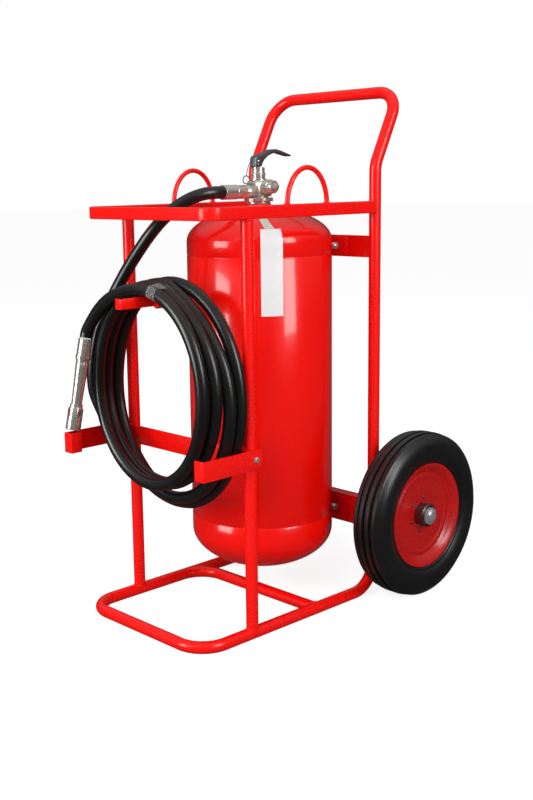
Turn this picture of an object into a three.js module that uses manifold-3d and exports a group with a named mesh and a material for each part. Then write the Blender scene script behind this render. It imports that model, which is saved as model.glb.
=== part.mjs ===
import * as THREE from 'three';
import { mergeVertices } from 'three/addons/utils/BufferGeometryUtils.js';
import Module from 'manifold-3d';

// Wheeled fire extinguisher on a bent-tube trolley. Millimetres, +Z up, +X to the right-hand
// wheel, -Y the hose side, +Y the handle side. The trolley stands on its base frame at z = 0
// and the two wheels hang clear of the ground until it is tipped back on to them.

// ---- driving dimensions -------------------------------------------------------------------
const GAP = 0.3;              // between pieces that touch
const TUBE = 12.5;            // radius of the frame tube
const HALF = 180;             // x of the side bars and uprights
const FRONT_Y = -348;         // centre of the front base bar
const UPRIGHT_Y = -210;       // front uprights
const REAR_Y = 165;           // rear uprights
const CROSS_Y = -22;          // base cross tube
const BEND = 61;              // centreline radius of the base bends
const RING_TOP = 860.5;
const RING_SIZE = 25;         // square tube
const RING_FRONT = -303.5;    // centre of the ring's front bar
const LEAN_Z = 934;           // where the rear uprights start to lean back
const HANDLE_Y = 243;
const HANDLE_Z = 1086.5;
const SPLIT_Z = 207;          // the rear uprights are butt welded here
const AXLE_Y = 229.8;         // wheel axle, behind the rear uprights
const AXLE_Z = 182.5;
const AXLE_R = 10;
const WHEEL_X = 247.7;
const WHEEL_R = 175;          // wheel section as drawn, before its scale
const TYRE_W = 80;
const WHEEL_SCALE = 1.0354;   // brings the tyre to 362 mm across
const CYL_R = 154.3;
const CYL_WALL = 3.2;
const SEAM_LOW = 190;
const SEAM_HIGH = 754;
const DOME_LOW = { z: 156.5, h: 85 };
const DOME_HIGH = { z: 782, h: 69 };
const NECK_R = 27;
const NECK_BORE = 20;
const NECK_TOP = 861;
const VALVE_TURN = Math.PI / 2;   // the outlet points to the front, the lever to the handle
const OUTLET_Z = 884;
const COLLAR_TOP = 871;
const CRADLE_Z = 353;         // underside of the hose cradle's 40 mm bars
const HOSE_R = 13;
const LABEL_ANGLE = THREE.MathUtils.degToRad(54.7);

const root = new THREE.Group();
root.name = 'wheeled_extinguisher';

// ---- materials ----------------------------------------------------------------------------
const mats = {
  redPaint: { color: 0xd8140c, roughness: 0.28, metalness: 0.0 },
  cylinderPaint: { color: 0xdd1209, roughness: 0.18, metalness: 0.0 },
  rimPaint: { color: 0xa8171a, roughness: 0.4, metalness: 0.0 },
  rubber: { color: 0x17171a, roughness: 0.72, metalness: 0.0 },
  hoseRubber: { color: 0x141416, roughness: 0.42, metalness: 0.0 },
  nickel: { color: 0xc9c3b6, roughness: 0.28, metalness: 1.0 },
  zinc: { color: 0xb9bcbd, roughness: 0.35, metalness: 1.0 },
  gunmetal: { color: 0x4a4f54, roughness: 0.42, metalness: 0.9 },
  hubSteel: { color: 0x55585b, roughness: 0.45, metalness: 0.9 },
  paper: { color: 0xf2f2f0, roughness: 0.5, metalness: 0.0 },
  brass: { color: 0xb08d4a, roughness: 0.4, metalness: 1.0 },
};

function add(name, geometry, matKey, parent = root, position = null, rotation = null) {
  const mesh = new THREE.Mesh(geometry, new THREE.MeshStandardMaterial(mats[matKey]));
  mesh.name = name;
  if (position) mesh.position.set(...position);
  if (rotation) mesh.rotation.set(...rotation);
  parent.add(mesh);
  return mesh;
}

// ---- solid helpers ------------------------------------------------------------------------
const wasm = await Module();
wasm.setup();

function toSolid(geometry) {
  let g = geometry.clone();
  g.deleteAttribute('normal');
  g.deleteAttribute('uv');
  g = mergeVertices(g, 1e-4);
  return new wasm.Manifold(new wasm.Mesh({
    numProp: 3,
    vertProperties: new Float32Array(g.attributes.position.array),
    triVerts: new Uint32Array(g.index.array),
  }));
}

function toGeometry(solid) {
  const m = solid.getMesh();
  const g = new THREE.BufferGeometry();
  const pos = new Float32Array(m.vertProperties.length / m.numProp * 3);
  for (let i = 0; i < pos.length / 3; i++) {
    for (let k = 0; k < 3; k++) pos[i * 3 + k] = m.vertProperties[i * m.numProp + k];
  }
  g.setAttribute('position', new THREE.BufferAttribute(pos, 3));
  g.setIndex(new THREE.BufferAttribute(new Uint32Array(m.triVerts), 1));
  g.computeVertexNormals();
  return g;
}

const cut = (g, ...tools) => toGeometry(tools.reduce((s, t) => s.subtract(toSolid(t)), toSolid(g)));
const join = (...parts) => toGeometry(parts.slice(1).reduce((s, t) => s.add(toSolid(t)), toSolid(parts[0])));

// A path through given stations, so that straight runs stay one segment long.
class StationPath extends THREE.Curve {
  constructor(stations) { super(); this.stations = stations; }
  getPoint(t, target = new THREE.Vector3()) {
    const n = this.stations.length - 1;
    const i = Math.min(Math.floor(t * n), n - 1);
    return target.copy(this.stations[i]).lerp(this.stations[i + 1], t * n - i);
  }
  getPointAt(u, target) { return this.getPoint(u, target); }
  getSpacedPoints() { return this.stations.map((p) => p.clone()); }
  getTangentAt(u, target = new THREE.Vector3()) {
    const s = this.stations, n = s.length - 1, i = Math.round(u * n);
    const dirs = [];
    if (i > 0) dirs.push(s[i].clone().sub(s[i - 1]).normalize());
    if (i < n) dirs.push(s[i + 1].clone().sub(s[i]).normalize());
    return target.copy(dirs.reduce((a, b) => a.add(b), new THREE.Vector3())).normalize();
  }
  getTangent(t, target) { return this.getTangentAt(t, target); }
}

// Polyline with round bends of one centreline radius at the inner corners.
function bentPath(points, radius, segs = 7) {
  const p = points.map((q) => new THREE.Vector3(...q));
  const out = [p[0]];
  for (let i = 1; i < p.length - 1; i++) {
    const a = p[i - 1].clone().sub(p[i]).normalize(), b = p[i + 1].clone().sub(p[i]).normalize();
    const angle = a.angleTo(b), reach = radius / Math.tan(angle / 2);
    const centre = p[i].clone().add(a.clone().add(b).normalize().multiplyScalar(radius / Math.sin(angle / 2)));
    const from = p[i].clone().addScaledVector(a, reach).sub(centre);
    const axis = from.clone().cross(p[i].clone().addScaledVector(b, reach).sub(centre)).normalize();
    const turn = Math.PI - angle, n = Math.max(2, Math.round(segs * turn / (Math.PI / 2)));
    for (let k = 0; k <= n; k++) out.push(from.clone().applyAxisAngle(axis, turn * k / n).add(centre));
  }
  out.push(p[p.length - 1]);
  return new StationPath(out);
}

function roundShape(radius, sides) {
  const pts = [];
  for (let i = 0; i < sides; i++) {
    const a = 2 * Math.PI * i / sides;
    pts.push(new THREE.Vector2(radius * Math.cos(a), radius * Math.sin(a)));
  }
  return new THREE.Shape(pts);
}

function squareShape(half, corner, n = 2) {
  const pts = [];
  for (const [sx, sy, a0] of [[1, 1, 0], [-1, 1, 90], [-1, -1, 180], [1, -1, 270]]) {
    for (let k = 0; k <= n; k++) {
      const a = THREE.MathUtils.degToRad(a0 + 90 * k / n);
      pts.push(new THREE.Vector2(sx * (half - corner) + corner * Math.cos(a),
        sy * (half - corner) + corner * Math.sin(a)));
    }
  }
  return new THREE.Shape(pts);
}

const sweep = (shape, path) => new THREE.ExtrudeGeometry(shape,
  { steps: path.stations.length - 1, extrudePath: path, curveSegments: 1 });
const tube = (points, bend, radius = TUBE, sides = 16, segs = 6) =>
  sweep(roundShape(radius, sides), bentPath(points, bend, segs));
const straight = (a, b, radius = TUBE, sides = 16) =>
  sweep(roundShape(radius, sides), new StationPath([new THREE.Vector3(...a), new THREE.Vector3(...b)]));

// Closed profile of [radius, height] pairs turned about Z.
const lathe = (profile, segs = 32) =>
  new THREE.LatheGeometry(profile.map(([r, z]) => new THREE.Vector2(r, z)), segs).rotateX(Math.PI / 2);
const ring = (rOut, rIn, z0, z1, segs = 24) =>
  lathe([[rIn, z0], [rOut, z0], [rOut, z1], [rIn, z1], [rIn, z0]], segs);
const alongX = (g) => g.rotateY(Math.PI / 2);
const box = (x0, x1, y0, y1, z0, z1) =>
  new THREE.BoxGeometry(x1 - x0, y1 - y0, z1 - z0).translate((x0 + x1) / 2, (y0 + y1) / 2, (z0 + z1) / 2);
const hexPrism = (flats, z0, z1) => lathe([[0, z0], [flats / Math.sqrt(3), z0], [flats / Math.sqrt(3), z1], [0, z1]], 6);
const flat = (points, z0, height) => new THREE.ExtrudeGeometry(
  new THREE.Shape(points.map(([x, y]) => new THREE.Vector2(x, y))),
  { depth: height, bevelEnabled: false, curveSegments: 1 }).translate(0, 0, z0);

// ---- base frame ---------------------------------------------------------------------------
const SPLIT_FRONT = FRONT_Y + BEND + 4;   // side bars are butt welded to the front bend here

function baseFrontBend() {
  return tube([[-HALF, SPLIT_FRONT, TUBE], [-HALF, FRONT_Y, TUBE], [HALF, FRONT_Y, TUBE], [HALF, SPLIT_FRONT, TUBE]], BEND);
}

// Right side bar, rear bend and lower part of the right upright in one tube.
function baseSideRight() {
  return tube([[HALF, SPLIT_FRONT + GAP, TUBE], [HALF, REAR_Y, TUBE], [HALF, REAR_Y, SPLIT_Z]], BEND);
}

// Left side bar runs into the cross tube through a bend.
function baseSideLeft() {
  return cut(
    tube([[-HALF, SPLIT_FRONT + GAP, TUBE], [-HALF, CROSS_Y, TUBE], [HALF, CROSS_Y, TUBE]], BEND),
    straight([HALF, -300, TUBE], [HALF, 300, TUBE], TUBE + GAP, 16));
}

// Left rear leg butts on that bend and turns up into the left upright.
function rearLegLeft() {
  const leg = tube([[-HALF, CROSS_Y - 30, TUBE], [-HALF, REAR_Y, TUBE], [-HALF, REAR_Y, SPLIT_Z]], BEND);
  return cut(leg,
    tube([[-HALF, SPLIT_FRONT, TUBE], [-HALF, CROSS_Y, TUBE], [HALF, CROSS_Y, TUBE]], BEND, TUBE + GAP),
    box(-260, -100, -200, CROSS_Y - 20, -20, 60));
}

function frontUpright(side) {
  return cut(
    straight([side * HALF, UPRIGHT_Y, TUBE], [side * HALF, UPRIGHT_Y, RING_TOP - RING_SIZE - GAP]),
    straight([side * HALF, -300, TUBE], [side * HALF, -100, TUBE], TUBE + GAP, 16));
}

// Both rear uprights and the handle are one bent tube.
function handleLoop() {
  const points = [[HALF, REAR_Y, SPLIT_Z + GAP], [HALF, REAR_Y, LEAN_Z], [HALF, HANDLE_Y, HANDLE_Z]];
  return tube([...points, ...points.map(([x, y, z]) => [-x, y, z]).reverse()], 56);
}

add('base_front_bend', baseFrontBend(), 'redPaint');
add('base_side_right', baseSideRight(), 'redPaint');
add('base_side_left', baseSideLeft(), 'redPaint');
add('rear_leg_left', rearLegLeft(), 'redPaint');
add('handle_loop', handleLoop(), 'redPaint');
for (const [side, tag] of [[1, 'right'], [-1, 'left']]) {
  add(`front_upright_${tag}`, frontUpright(side), 'redPaint');
}

// ---- top ring and hoops -------------------------------------------------------------------
// Square tube carried on the front uprights, its ends fitted against the rear uprights.
function topRing() {
  const zc = RING_TOP - RING_SIZE / 2, end = REAR_Y;
  const path = bentPath([[HALF, end, zc], [HALF, RING_FRONT, zc], [-HALF, RING_FRONT, zc], [-HALF, end, zc]], 19, 5);
  return cut(sweep(squareShape(RING_SIZE / 2, 3), path),
    straight([HALF, REAR_Y, 700], [HALF, REAR_Y, 1000], TUBE + GAP),
    straight([-HALF, REAR_Y, 700], [-HALF, REAR_Y, 1000], TUBE + GAP),
    box(100, 260, REAR_Y - 3, REAR_Y + 60, 700, 1000), box(-260, -100, REAR_Y - 3, REAR_Y + 60, 700, 1000));
}

function hoop(side, middle) {
  const stations = [];
  for (let k = 0; k <= 12; k++) {
    const a = Math.PI * k / 12;
    stations.push(new THREE.Vector3(side * HALF, middle - 57 * Math.cos(a), RING_TOP + GAP + 71 * Math.sin(a)));
  }
  const path = new StationPath(stations);
  return cut(sweep(roundShape(5, 8), path), box(-260, 260, -300, 300, 700, RING_TOP + GAP));
}

add('top_ring', topRing(), 'redPaint');
add('lift_hoop_right', hoop(1, -43), 'redPaint');
add('lift_hoop_left', hoop(-1, -24), 'redPaint');

// ---- rear cross members -------------------------------------------------------------------
const LUG_Y = CYL_R + GAP;                 // flat bars welded to the back of the cylinder
const PLATE_Y = LUG_Y + 4 + GAP;

function crossPlate(z0, z1) {
  return cut(box(-HALF + TUBE - 4, HALF - TUBE + 4, PLATE_Y, PLATE_Y + 5, z0, z1),
    straight([HALF, REAR_Y, 100], [HALF, REAR_Y, 900], TUBE + GAP),
    straight([-HALF, REAR_Y, 100], [-HALF, REAR_Y, 900], TUBE + GAP),
    ...[80, -80].map((x) => straight([x, 100, (z0 + z1) / 2], [x, 200, (z0 + z1) / 2], 5.3, 12)));
}

function crossChannel(z0, z1) {
  const y0 = PLATE_Y, y1 = PLATE_Y + 26, x = HALF - TUBE - GAP - 0.6;
  const shape = new THREE.Shape([[y0, z0], [y1, z0], [y1, z0 + 4], [y0 + 4, z0 + 4], [y0 + 4, z1 - 4],
    [y1, z1 - 4], [y1, z1], [y0, z1]].map(([a, b]) => new THREE.Vector2(a, b)));
  const g = new THREE.ExtrudeGeometry(shape, { depth: 2 * x, bevelEnabled: false })
    .applyMatrix4(new THREE.Matrix4().set(0, 0, 1, -x, 1, 0, 0, 0, 0, 1, 0, 0, 0, 0, 0, 1));
  return cut(g, ...[80, -80].map((h) => straight([h, 100, (z0 + z1) / 2], [h, 200, (z0 + z1) / 2], 5.3, 12)));
}

const cylinderLug = (z0, z1) => cut(box(-112, 112, LUG_Y, LUG_Y + 4, z0, z1),
  ...[80, -80].map((x) => straight([x, 100, (z0 + z1) / 2], [x, 200, (z0 + z1) / 2], 5.3, 12)));

// Domed nut on the front of the lug, shank through both plates, hexagon head behind.
function domeBolt(plateT) {
  const head = PLATE_Y + plateT + GAP;
  const body = lathe([[0, LUG_Y - GAP - 13], [4.5, LUG_Y - GAP - 12], [7.5, LUG_Y - GAP - 8], [8.2, LUG_Y - GAP],
    [5, LUG_Y - GAP], [5, head + 3], [0, head + 3]], 16);
  return join(body, hexPrism(17, head, head + 6)).rotateX(-Math.PI / 2);
}

add('rear_cross_plate', crossPlate(742, 788), 'redPaint');
add('rear_cross_channel', crossChannel(147, 211), 'redPaint');
add('cylinder_lug_upper', cylinderLug(745, 785), 'redPaint');
add('cylinder_lug_lower', cylinderLug(152, 206), 'redPaint');
for (const [tag, x, z, t] of [['upper_right', 80, 765, 5], ['upper_left', -80, 765, 5],
  ['lower_right', 80, 179, 4], ['lower_left', -80, 179, 4]]) {
  add(`lug_bolt_${tag}`, domeBolt(t), 'zinc', root, [x, 0, z]);
}

// ---- hose hook and cradle -----------------------------------------------------------------
// Flat hook arm welded along a round stem that stands out from the cylinder.
const HOOK_TOP = 688;
const hookArm = () => flat([[-3, -240], [-3, -374], [-14, -374], [-14, -379], [2.5, -379], [2.5, -240]], HOOK_TOP - 21, 21);
const hookStem = () => straight([10.8, -CYL_R - GAP, 671], [10.8, -298, 671], 8, 14);

// Two bars in an L and a J, bolted to the outsides of the front uprights.
const ARM_X = HALF + TUBE + GAP;
const rightArm = () => cut(flat([[ARM_X, -193], [ARM_X, -344], [ARM_X - 22, -344], [ARM_X - 22, -348], [ARM_X + 4, -348],
  [ARM_X + 4, -193]], CRADLE_Z, 40), straight([150, UPRIGHT_Y, 373], [250, UPRIGHT_Y, 373], 4.3, 12));
const leftArm = () => cut(flat([[-ARM_X, -193], [-ARM_X, -380], [-ARM_X + 17, -380], [-ARM_X + 17, -358], [-ARM_X + 21, -358],
  [-ARM_X + 21, -384], [-ARM_X - 4, -384], [-ARM_X - 4, -193]], CRADLE_Z + 2, 42),
straight([-250, UPRIGHT_Y, 373], [-150, UPRIGHT_Y, 373], 4.3, 12));
const crossbar = () => box(-HALF - TUBE, HALF + TUBE, UPRIGHT_Y - TUBE - GAP - 4, UPRIGHT_Y - TUBE - GAP, CRADLE_Z, CRADLE_Z + 40);

// Round-head bolt lying along X, its tip stopping at the upright's wall.
const cradleBolt = (side) => {
  const x = ARM_X + 4 + GAP;
  const g = alongX(lathe([[0, HALF + TUBE + GAP], [3.9, HALF + TUBE + GAP], [3.9, x], [6.5, x], [6.2, x + 2], [4.2, x + 4], [0, x + 4.6]], 16));
  return side > 0 ? g : g.rotateZ(Math.PI);
};

add('hook_arm', hookArm(), 'redPaint');
add('hook_stem', hookStem(), 'redPaint');
add('cradle_crossbar', crossbar(), 'redPaint');
add('cradle_arm_right', rightArm(), 'redPaint');
add('cradle_arm_left', leftArm(), 'redPaint');
add('cradle_bolt_right', cradleBolt(1), 'zinc', root, [0, UPRIGHT_Y, 373]);
add('cradle_bolt_left', cradleBolt(-1), 'zinc', root, [0, UPRIGHT_Y, 373]);

// ---- axles and wheels ---------------------------------------------------------------------
// Stub axle: thick root on a bracket plate behind the upright, thin journal for the wheel.
function stubAxle(side) {
  const root = WHEEL_X - 53, tip = WHEEL_X + 34.2, R = AXLE_R * WHEEL_SCALE;
  const back = side * (REAR_Y + TUBE + GAP - AXLE_Y);
  const plate = flat([[back, -25], [back, 45], [back * 0.8, 45], [side * 6, 15], [side * 6, -15], [back * 0.8, -25]], 176, 8)
    .rotateX(Math.PI / 2).rotateZ(Math.PI / 2);
  return join(alongX(lathe([[0, 168], [17, 168], [17, root], [R + 2, root + 2], [R, root + 2], [R, tip], [0, tip]], 32)), plate);
}

// Solid tyre with four raised ribs round the tread.
function tyre() {
  const h = TYRE_W / 2, R = WHEEL_R, side = [[100.2, 22.9], [112.1, 26.9], [112.6, 31], [130, h - 1], [146, h], [163, h - 6]];
  const tread = [-20.4, -6.8, 6.8, 20.4].flatMap((x) => {
    const r = R - (Math.abs(x) > 10 ? 2 : 0);
    return [[R - 6, x - 6], [r, x - 5], [r, x + 5], [R - 6, x + 6]];
  });
  return alongX(lathe([...side.map(([r, x]) => [r, -x]), ...tread, ...side.slice().reverse(), [100.2, -22.9]], 36));
}

// Pressed rim with a dished web.
function rim() {
  const outer = [[24.6, 8], [58, 8], [64, 14], [84, 14], [92, 6], [96.5, 6], [96.5, 25], [111, 30.2]];
  const inner = [[111.5, 27.4], [99.7, 23.4], [99.7, -23.4], [111.5, -27.4], [111, -30.2], [96.5, -25], [96.5, 2.5],
    [90.5, 2.5], [82.5, 10.6], [65.5, 10.6], [59.5, 4.6], [24.6, 4.6], [24.6, 8]];
  return alongX(lathe([...outer, ...inner].reverse(), 32));
}

const hub = () => alongX(lathe([[21.3, -44], [24.2, -44], [24.2, 36], [21.3, 36], [21.3, 32.5], [19, 32.5], [19, 28],
  [21.3, 28], [21.3, -44]], 24));
const bearing = () => alongX(ring(21, AXLE_R + 0.3, -6, 6, 24));
const sized = (g) => g.scale(WHEEL_SCALE, WHEEL_SCALE, WHEEL_SCALE);
const hubCap = () => alongX(lathe([[0, 36.4], [18.5, 36.4], [18.5, 40], [17, 43.5], [12, 45.6], [0, 46.6]], 28));

for (const [side, tag] of [[1, 'right'], [-1, 'left']]) {
  const group = new THREE.Group();
  group.position.set(0, AXLE_Y, AXLE_Z);
  if (side < 0) group.rotation.z = Math.PI;
  root.add(group);
  add(`stub_axle_${tag}`, stubAxle(side), 'hubSteel', group);
  const wheel = new THREE.Group();
  wheel.position.x = WHEEL_X;
  group.add(wheel);
  add(`tyre_${tag}`, sized(tyre()), 'rubber', wheel);
  add(`rim_${tag}`, sized(rim()), 'rimPaint', wheel);
  add(`hub_${tag}`, sized(hub()), 'hubSteel', wheel);
  add(`bearing_inner_${tag}`, sized(bearing()), 'zinc', wheel, [-36 * WHEEL_SCALE, 0, 0]);
  add(`bearing_outer_${tag}`, sized(bearing()), 'zinc', wheel, [21.5 * WHEEL_SCALE, 0, 0]);
  add(`hub_cap_${tag}`, sized(hubCap()), 'zinc', wheel);
}

// ---- cylinder -----------------------------------------------------------------------------
const domeProfile = (r, z, h, from, to, n) => Array.from({ length: n + 1 }, (_, k) => {
  const a = THREE.MathUtils.degToRad(from + (to - from) * k / n);
  return [Math.max(0, r * Math.sin(a)), z + h * Math.cos(a)];
});

function cylinderShell() {
  const w = CYL_WALL, R = CYL_R, neckAngle = THREE.MathUtils.radToDeg(Math.asin(NECK_R / R));
  const lap = 1.4;
  const outside = [
    ...domeProfile(R, DOME_LOW.z, -DOME_LOW.h, 0, 90, 6),
    [R, SEAM_LOW - 2], [R - lap, SEAM_LOW], [R - lap, SEAM_LOW + 1], [R, SEAM_LOW + 3],
    [R, SEAM_HIGH - 3], [R - lap, SEAM_HIGH - 1], [R - lap, SEAM_HIGH], [R, SEAM_HIGH + 2],
    ...domeProfile(R, DOME_HIGH.z, DOME_HIGH.h, 90, neckAngle, 6),
    [NECK_R, NECK_TOP - 3], [NECK_BORE, NECK_TOP - 3], [NECK_BORE, DOME_HIGH.z + DOME_HIGH.h - 5.6],
  ];
  const inside = [
    ...domeProfile(R - w, DOME_HIGH.z, DOME_HIGH.h - w, 12, 90, 4),
    ...domeProfile(R - w, DOME_LOW.z, -(DOME_LOW.h - w), 90, 0, 4),
  ];
  return lathe([...outside, ...inside], 40);
}
add('cylinder_shell', cylinderShell(), 'cylinderPaint');

// ---- valve --------------------------------------------------------------------------------
// Local frame: +X' to the lever, -X' to the hose outlet, -Y' to the relief boss, Z absolute.
const valve = new THREE.Group();
valve.rotation.z = VALVE_TURN;
root.add(valve);

const PIVOT = [-9, 940.5];
const LOCK = [-9, 946.9];
const SPINDLE_TOP = 951.4;

const turned = (z0, z1, r, segs = 20) => lathe([[0, z0], [r, z0], [r, z1], [0, z1]], segs);
const sideBar = (x0, x1, r, z, segs = 20) => alongX(turned(x0, x1, r, segs)).translate(0, 0, z);
const acrossBar = (y0, y1, r, x, z, segs = 14) => turned(y0, y1, r, segs).rotateX(-Math.PI / 2).translate(x, 0, z);

// Cast body: screwed stem in the neck, square-shouldered block, outlet boss and relief boss.
function valveBody() {
  const block = join(
    lathe([[0, 836], [19.5, 836], [19.5, 858.4], [25.5, 858.4], [25.5, 863], [20.5, 863], [20.5, 872], [22.5, 874],
      [22.5, 903], [19.5, 908.4], [0, 908.4]], 28),
    box(-16, 20, -21, 21, 874, 906),
    sideBar(-31, 0, 11.6, OUTLET_Z), sideBar(0, 27, 12, 893),
    acrossBar(-46, 0, 13, 2, 893), acrossBar(-36, 0, 15, 2, 893, 8));
  return cut(block,
    turned(830, 884, 6.9), turned(882, 915, 9.6), sideBar(-40, 0, 7.5, OUTLET_Z), acrossBar(-60, -39, 5.4, 2, 893));
}

function gland() {
  const g = join(
    lathe([[0, 908.8], [17, 908.8], [17, 919], [14.6, 920.5], [14.6, 930], [13.6, 931], [0, 931]], 28),
    box(-15, -3.9, -6, 6, 929, 950.4));
  return cut(g, turned(900, 960, 4.1, 16), turned(905, 919, 7.2, 16),
    acrossBar(-10, 10, 2.8, ...PIVOT), acrossBar(-10, 10, 2.3, ...LOCK));
}

// Plunger that the lever pushes down against its spring.
const spindle = () => lathe([[0, 893.8], [8.6, 893.8], [8.6, 899], [3.7, 901], [3.7, SPINDLE_TOP], [0, SPINDLE_TOP]], 18);

function spring() {
  const stations = [], turns = 3, n = 36;
  for (let k = 0; k <= n; k++) {
    const a = 2 * Math.PI * turns * k / n;
    stations.push(new THREE.Vector3(8.2 * Math.cos(a), 8.2 * Math.sin(a), 885.2 + 7.4 * k / n));
  }
  return sweep(roundShape(0.8, 6), new StationPath(stations));
}

// Cast lever: two cheeks over the gland tongue, a roof over them and a long drooping grip.
function lever() {
  const side = [[-16.5, 936.5], [14, 936.5], [16, 943], [24, 951], [36, 958.5], [48, 962.5], [62, 962.4], [79, 957.5],
    [96, 951.2], [98.5, 953.6], [92, 958.4], [78, 964.6], [62, 969.6], [47, 970.4], [33, 967], [18, 961.6],
    [-6, 958.6], [-15, 956.4], [-16.5, 952]];
  const shape = new THREE.Shape(side.map(([x, z]) => new THREE.Vector2(x, z)));
  const g = new THREE.ExtrudeGeometry(shape, { depth: 24, bevelEnabled: false }).rotateX(Math.PI / 2).translate(0, 12, 0);
  return cut(g, box(-30, 8, -6.4, 6.4, 900, 952.2), box(7, 20, -4.8, 4.8, 900, 947),
    acrossBar(-20, 20, 2.8, ...PIVOT), acrossBar(-20, 20, 3.7, ...LOCK));
}

const leverPin = () => lathe([[0, -14.4], [4, -14.4], [4, -12.3], [2.5, -12.3], [2.5, 13.6], [0, 13.6]], 14)
  .rotateX(-Math.PI / 2).translate(PIVOT[0], 0, PIVOT[1]);

// Pin across the lever and gland tongue, with its pull ring hanging on the far side.
function safetyPin() {
  const shaft = lathe([[0, -14.5], [2, -13.5], [2, 16], [3.4, 16], [3.4, 20], [0, 20]], 12).rotateX(-Math.PI / 2);
  const ringPull = new THREE.TorusGeometry(13, 1.2, 6, 20).rotateX(Math.PI / 2).translate(0, 18, -11.6);
  return join(shaft, ringPull).translate(LOCK[0], 0, LOCK[1]);
}

const collarNut = () => ring(30.5, 20.9, 863.4, COLLAR_TOP, 32);
const dipTube = () => ring(6.4, 5.2, 92, 880, 16);
const reliefPlug = () => join(acrossBar(-47, -39.4, 5, 2, 893), hexPrism(13, 0, 6.5).rotateX(Math.PI / 2).translate(2, -46.5, 893));
const couplingNut = () => cut(sideBar(-64, -31.4, 14.2, OUTLET_Z, 24), sideBar(-70, -30, 8.6, OUTLET_Z));
const hoseFerrule = () => alongX(lathe([[6.4, -105], [15, -105], [15, -100], [15.5, -99], [15.5, -97], [15, -96],
  [15, -90], [15.5, -89], [15.5, -87], [15, -86], [15, -66], [14, -64.4], [8, -64.4], [8, -40], [6.4, -40], [6.4, -105]], 24))
  .translate(0, 0, OUTLET_Z);

add('valve_body', valveBody(), 'nickel', valve);
add('collar_nut', collarNut(), 'nickel', valve);
add('dip_tube', dipTube(), 'brass', valve);
add('gland', gland(), 'nickel', valve);
add('spindle', spindle(), 'brass', valve);
add('spindle_spring', spring(), 'zinc', valve);
add('lever', lever(), 'gunmetal', valve);
add('lever_pin', leverPin(), 'zinc', valve);
add('safety_pin', safetyPin(), 'zinc', valve);
add('relief_plug', reliefPlug(), 'nickel', valve);
add('coupling_nut', couplingNut(), 'nickel', valve);
add('hose_ferrule', hoseFerrule(), 'nickel', valve);

// ---- label --------------------------------------------------------------------------------
// Thin sheet that follows the wall and the start of the dome, trimmed to a 45 mm wide strip.
function label() {
  const rim = (off) => [[CYL_R + off, 637], [CYL_R + off, DOME_HIGH.z],
    ...domeProfile(CYL_R + off, DOME_HIGH.z, DOME_HIGH.h, 82, 65, 3)];
  const skin = lathe([rim(0.8), rim(0.35).reverse()].flat().concat([[CYL_R + 0.8, 637]]), 72);
  const strip = box(-22.5, 22.5, -170, -100, 600, 900).rotateZ(LABEL_ANGLE);
  return toGeometry(toSolid(skin).intersect(toSolid(strip)));
}
add('label', label(), 'paper');

// ---- hose ---------------------------------------------------------------------------------
// The lead leaves the ferrule, dips behind the ring's front bar and comes down the left side.
const LEAD = [[0, -106, 884], [0, -128, 884], [-7, -151, 881.5], [-20, -174, 873], [-38, -196, 857], [-60, -217, 831],
  [-84, -233, 799], [-110, -243, 765], [-136, -251, 730], [-160, -261, 690], [-178, -273, 650], [-193, -284, 608],
  [-203, -292, 562], [-208, -296, 520], [-208.5, -296, 489], [-207, -294, 462]];
// Turns of the coil: [x, y] where each passes the right and the left, [z, y] at bottom and top.
const RIGHT = [[187, -240], [185, -267], [176, -294], [168, -321.5]];
const TOP = [[709.5, -246], [708.8, -273], [706.4, -300], [701.5, -321.5]];
const MID_Z = [486, 488, 506, 506];
// The tail crosses the top of the coil and drops to the nozzle.
const TAIL = [[-46, -321.5, 697.5], [-91, -321.5, 684], [-120, -321.7, 669.5], [-145, -322.4, 650], [-166, -323.8, 627.5],
  [-179.5, -324.6, 611], [-184.6, -325.4, 601.5]];
const NOZZLE = { top: [-185, -328, 590], tip: [-185, -371, 398] };

const spline = (pts, n) => new StationPath(
  new THREE.CatmullRomCurve3(pts.map((p) => new THREE.Vector3(...p)), false, 'centripetal').getSpacedPoints(n));

// Outer shape of the rear turns, which lie side by side; a nick clears the tie.
function coilSolid() {
  const shape = new THREE.Shape().absellipse(2, -484, 196, 238.5, 0, 2 * Math.PI);
  shape.holes.push(new THREE.Path().absellipse(2, -488, 157, 200.6, 0, 2 * Math.PI));
  const g = new THREE.ExtrudeGeometry(shape, { depth: 80.4, bevelEnabled: false, curveSegments: 22 })
    .rotateX(-Math.PI / 2).translate(0, -307.7, 0);
  return cut(g, box(-94, -58, -320, -304.2, 640, 760));
}

function frontTurn() {
  const pts = [], [xr, yr] = RIGHT[3], [zt, yt] = TOP[3], zb = 310, zc = MID_Z[3];
  for (let k = 0; k < 6; k++) {
    const a = Math.PI / 2 * k / 6;
    pts.push([xr * Math.sin(a), yr, zc - (zc - zb) * Math.cos(a)]);
  }
  for (let k = 0; k <= 6; k++) {
    const a = Math.PI / 2 * k / 6;
    pts.push([xr * Math.cos(a), yr + (yt - yr) * k / 6, zc + (zt - zc) * Math.sin(a)]);
  }
  return pts;
}

const onNozzle = (g) => {
  const a = new THREE.Vector3(...NOZZLE.top), b = new THREE.Vector3(...NOZZLE.tip);
  const q = new THREE.Quaternion().setFromUnitVectors(new THREE.Vector3(0, 0, -1), b.clone().sub(a).normalize());
  return g.applyQuaternion(q).translate(...NOZZLE.top);
};


function nozzleFerrule() {
  return onNozzle(lathe([[6.2, -45], [14.6, -45], [15.6, -43.5], [15.6, -33], [14.8, -31.5], [15.2, -28], [15.2, -3],
    [14.4, -0.4], [6.2, -0.4], [6.2, -45]], 24));
}

const nozzleBarrel = () => onNozzle(lathe([[6.2, -138], [11.2, -138], [11.6, -110], [13.6, -60], [13.6, -45.3],
  [6.2, -45.3], [6.2, -138]], 24));

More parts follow.
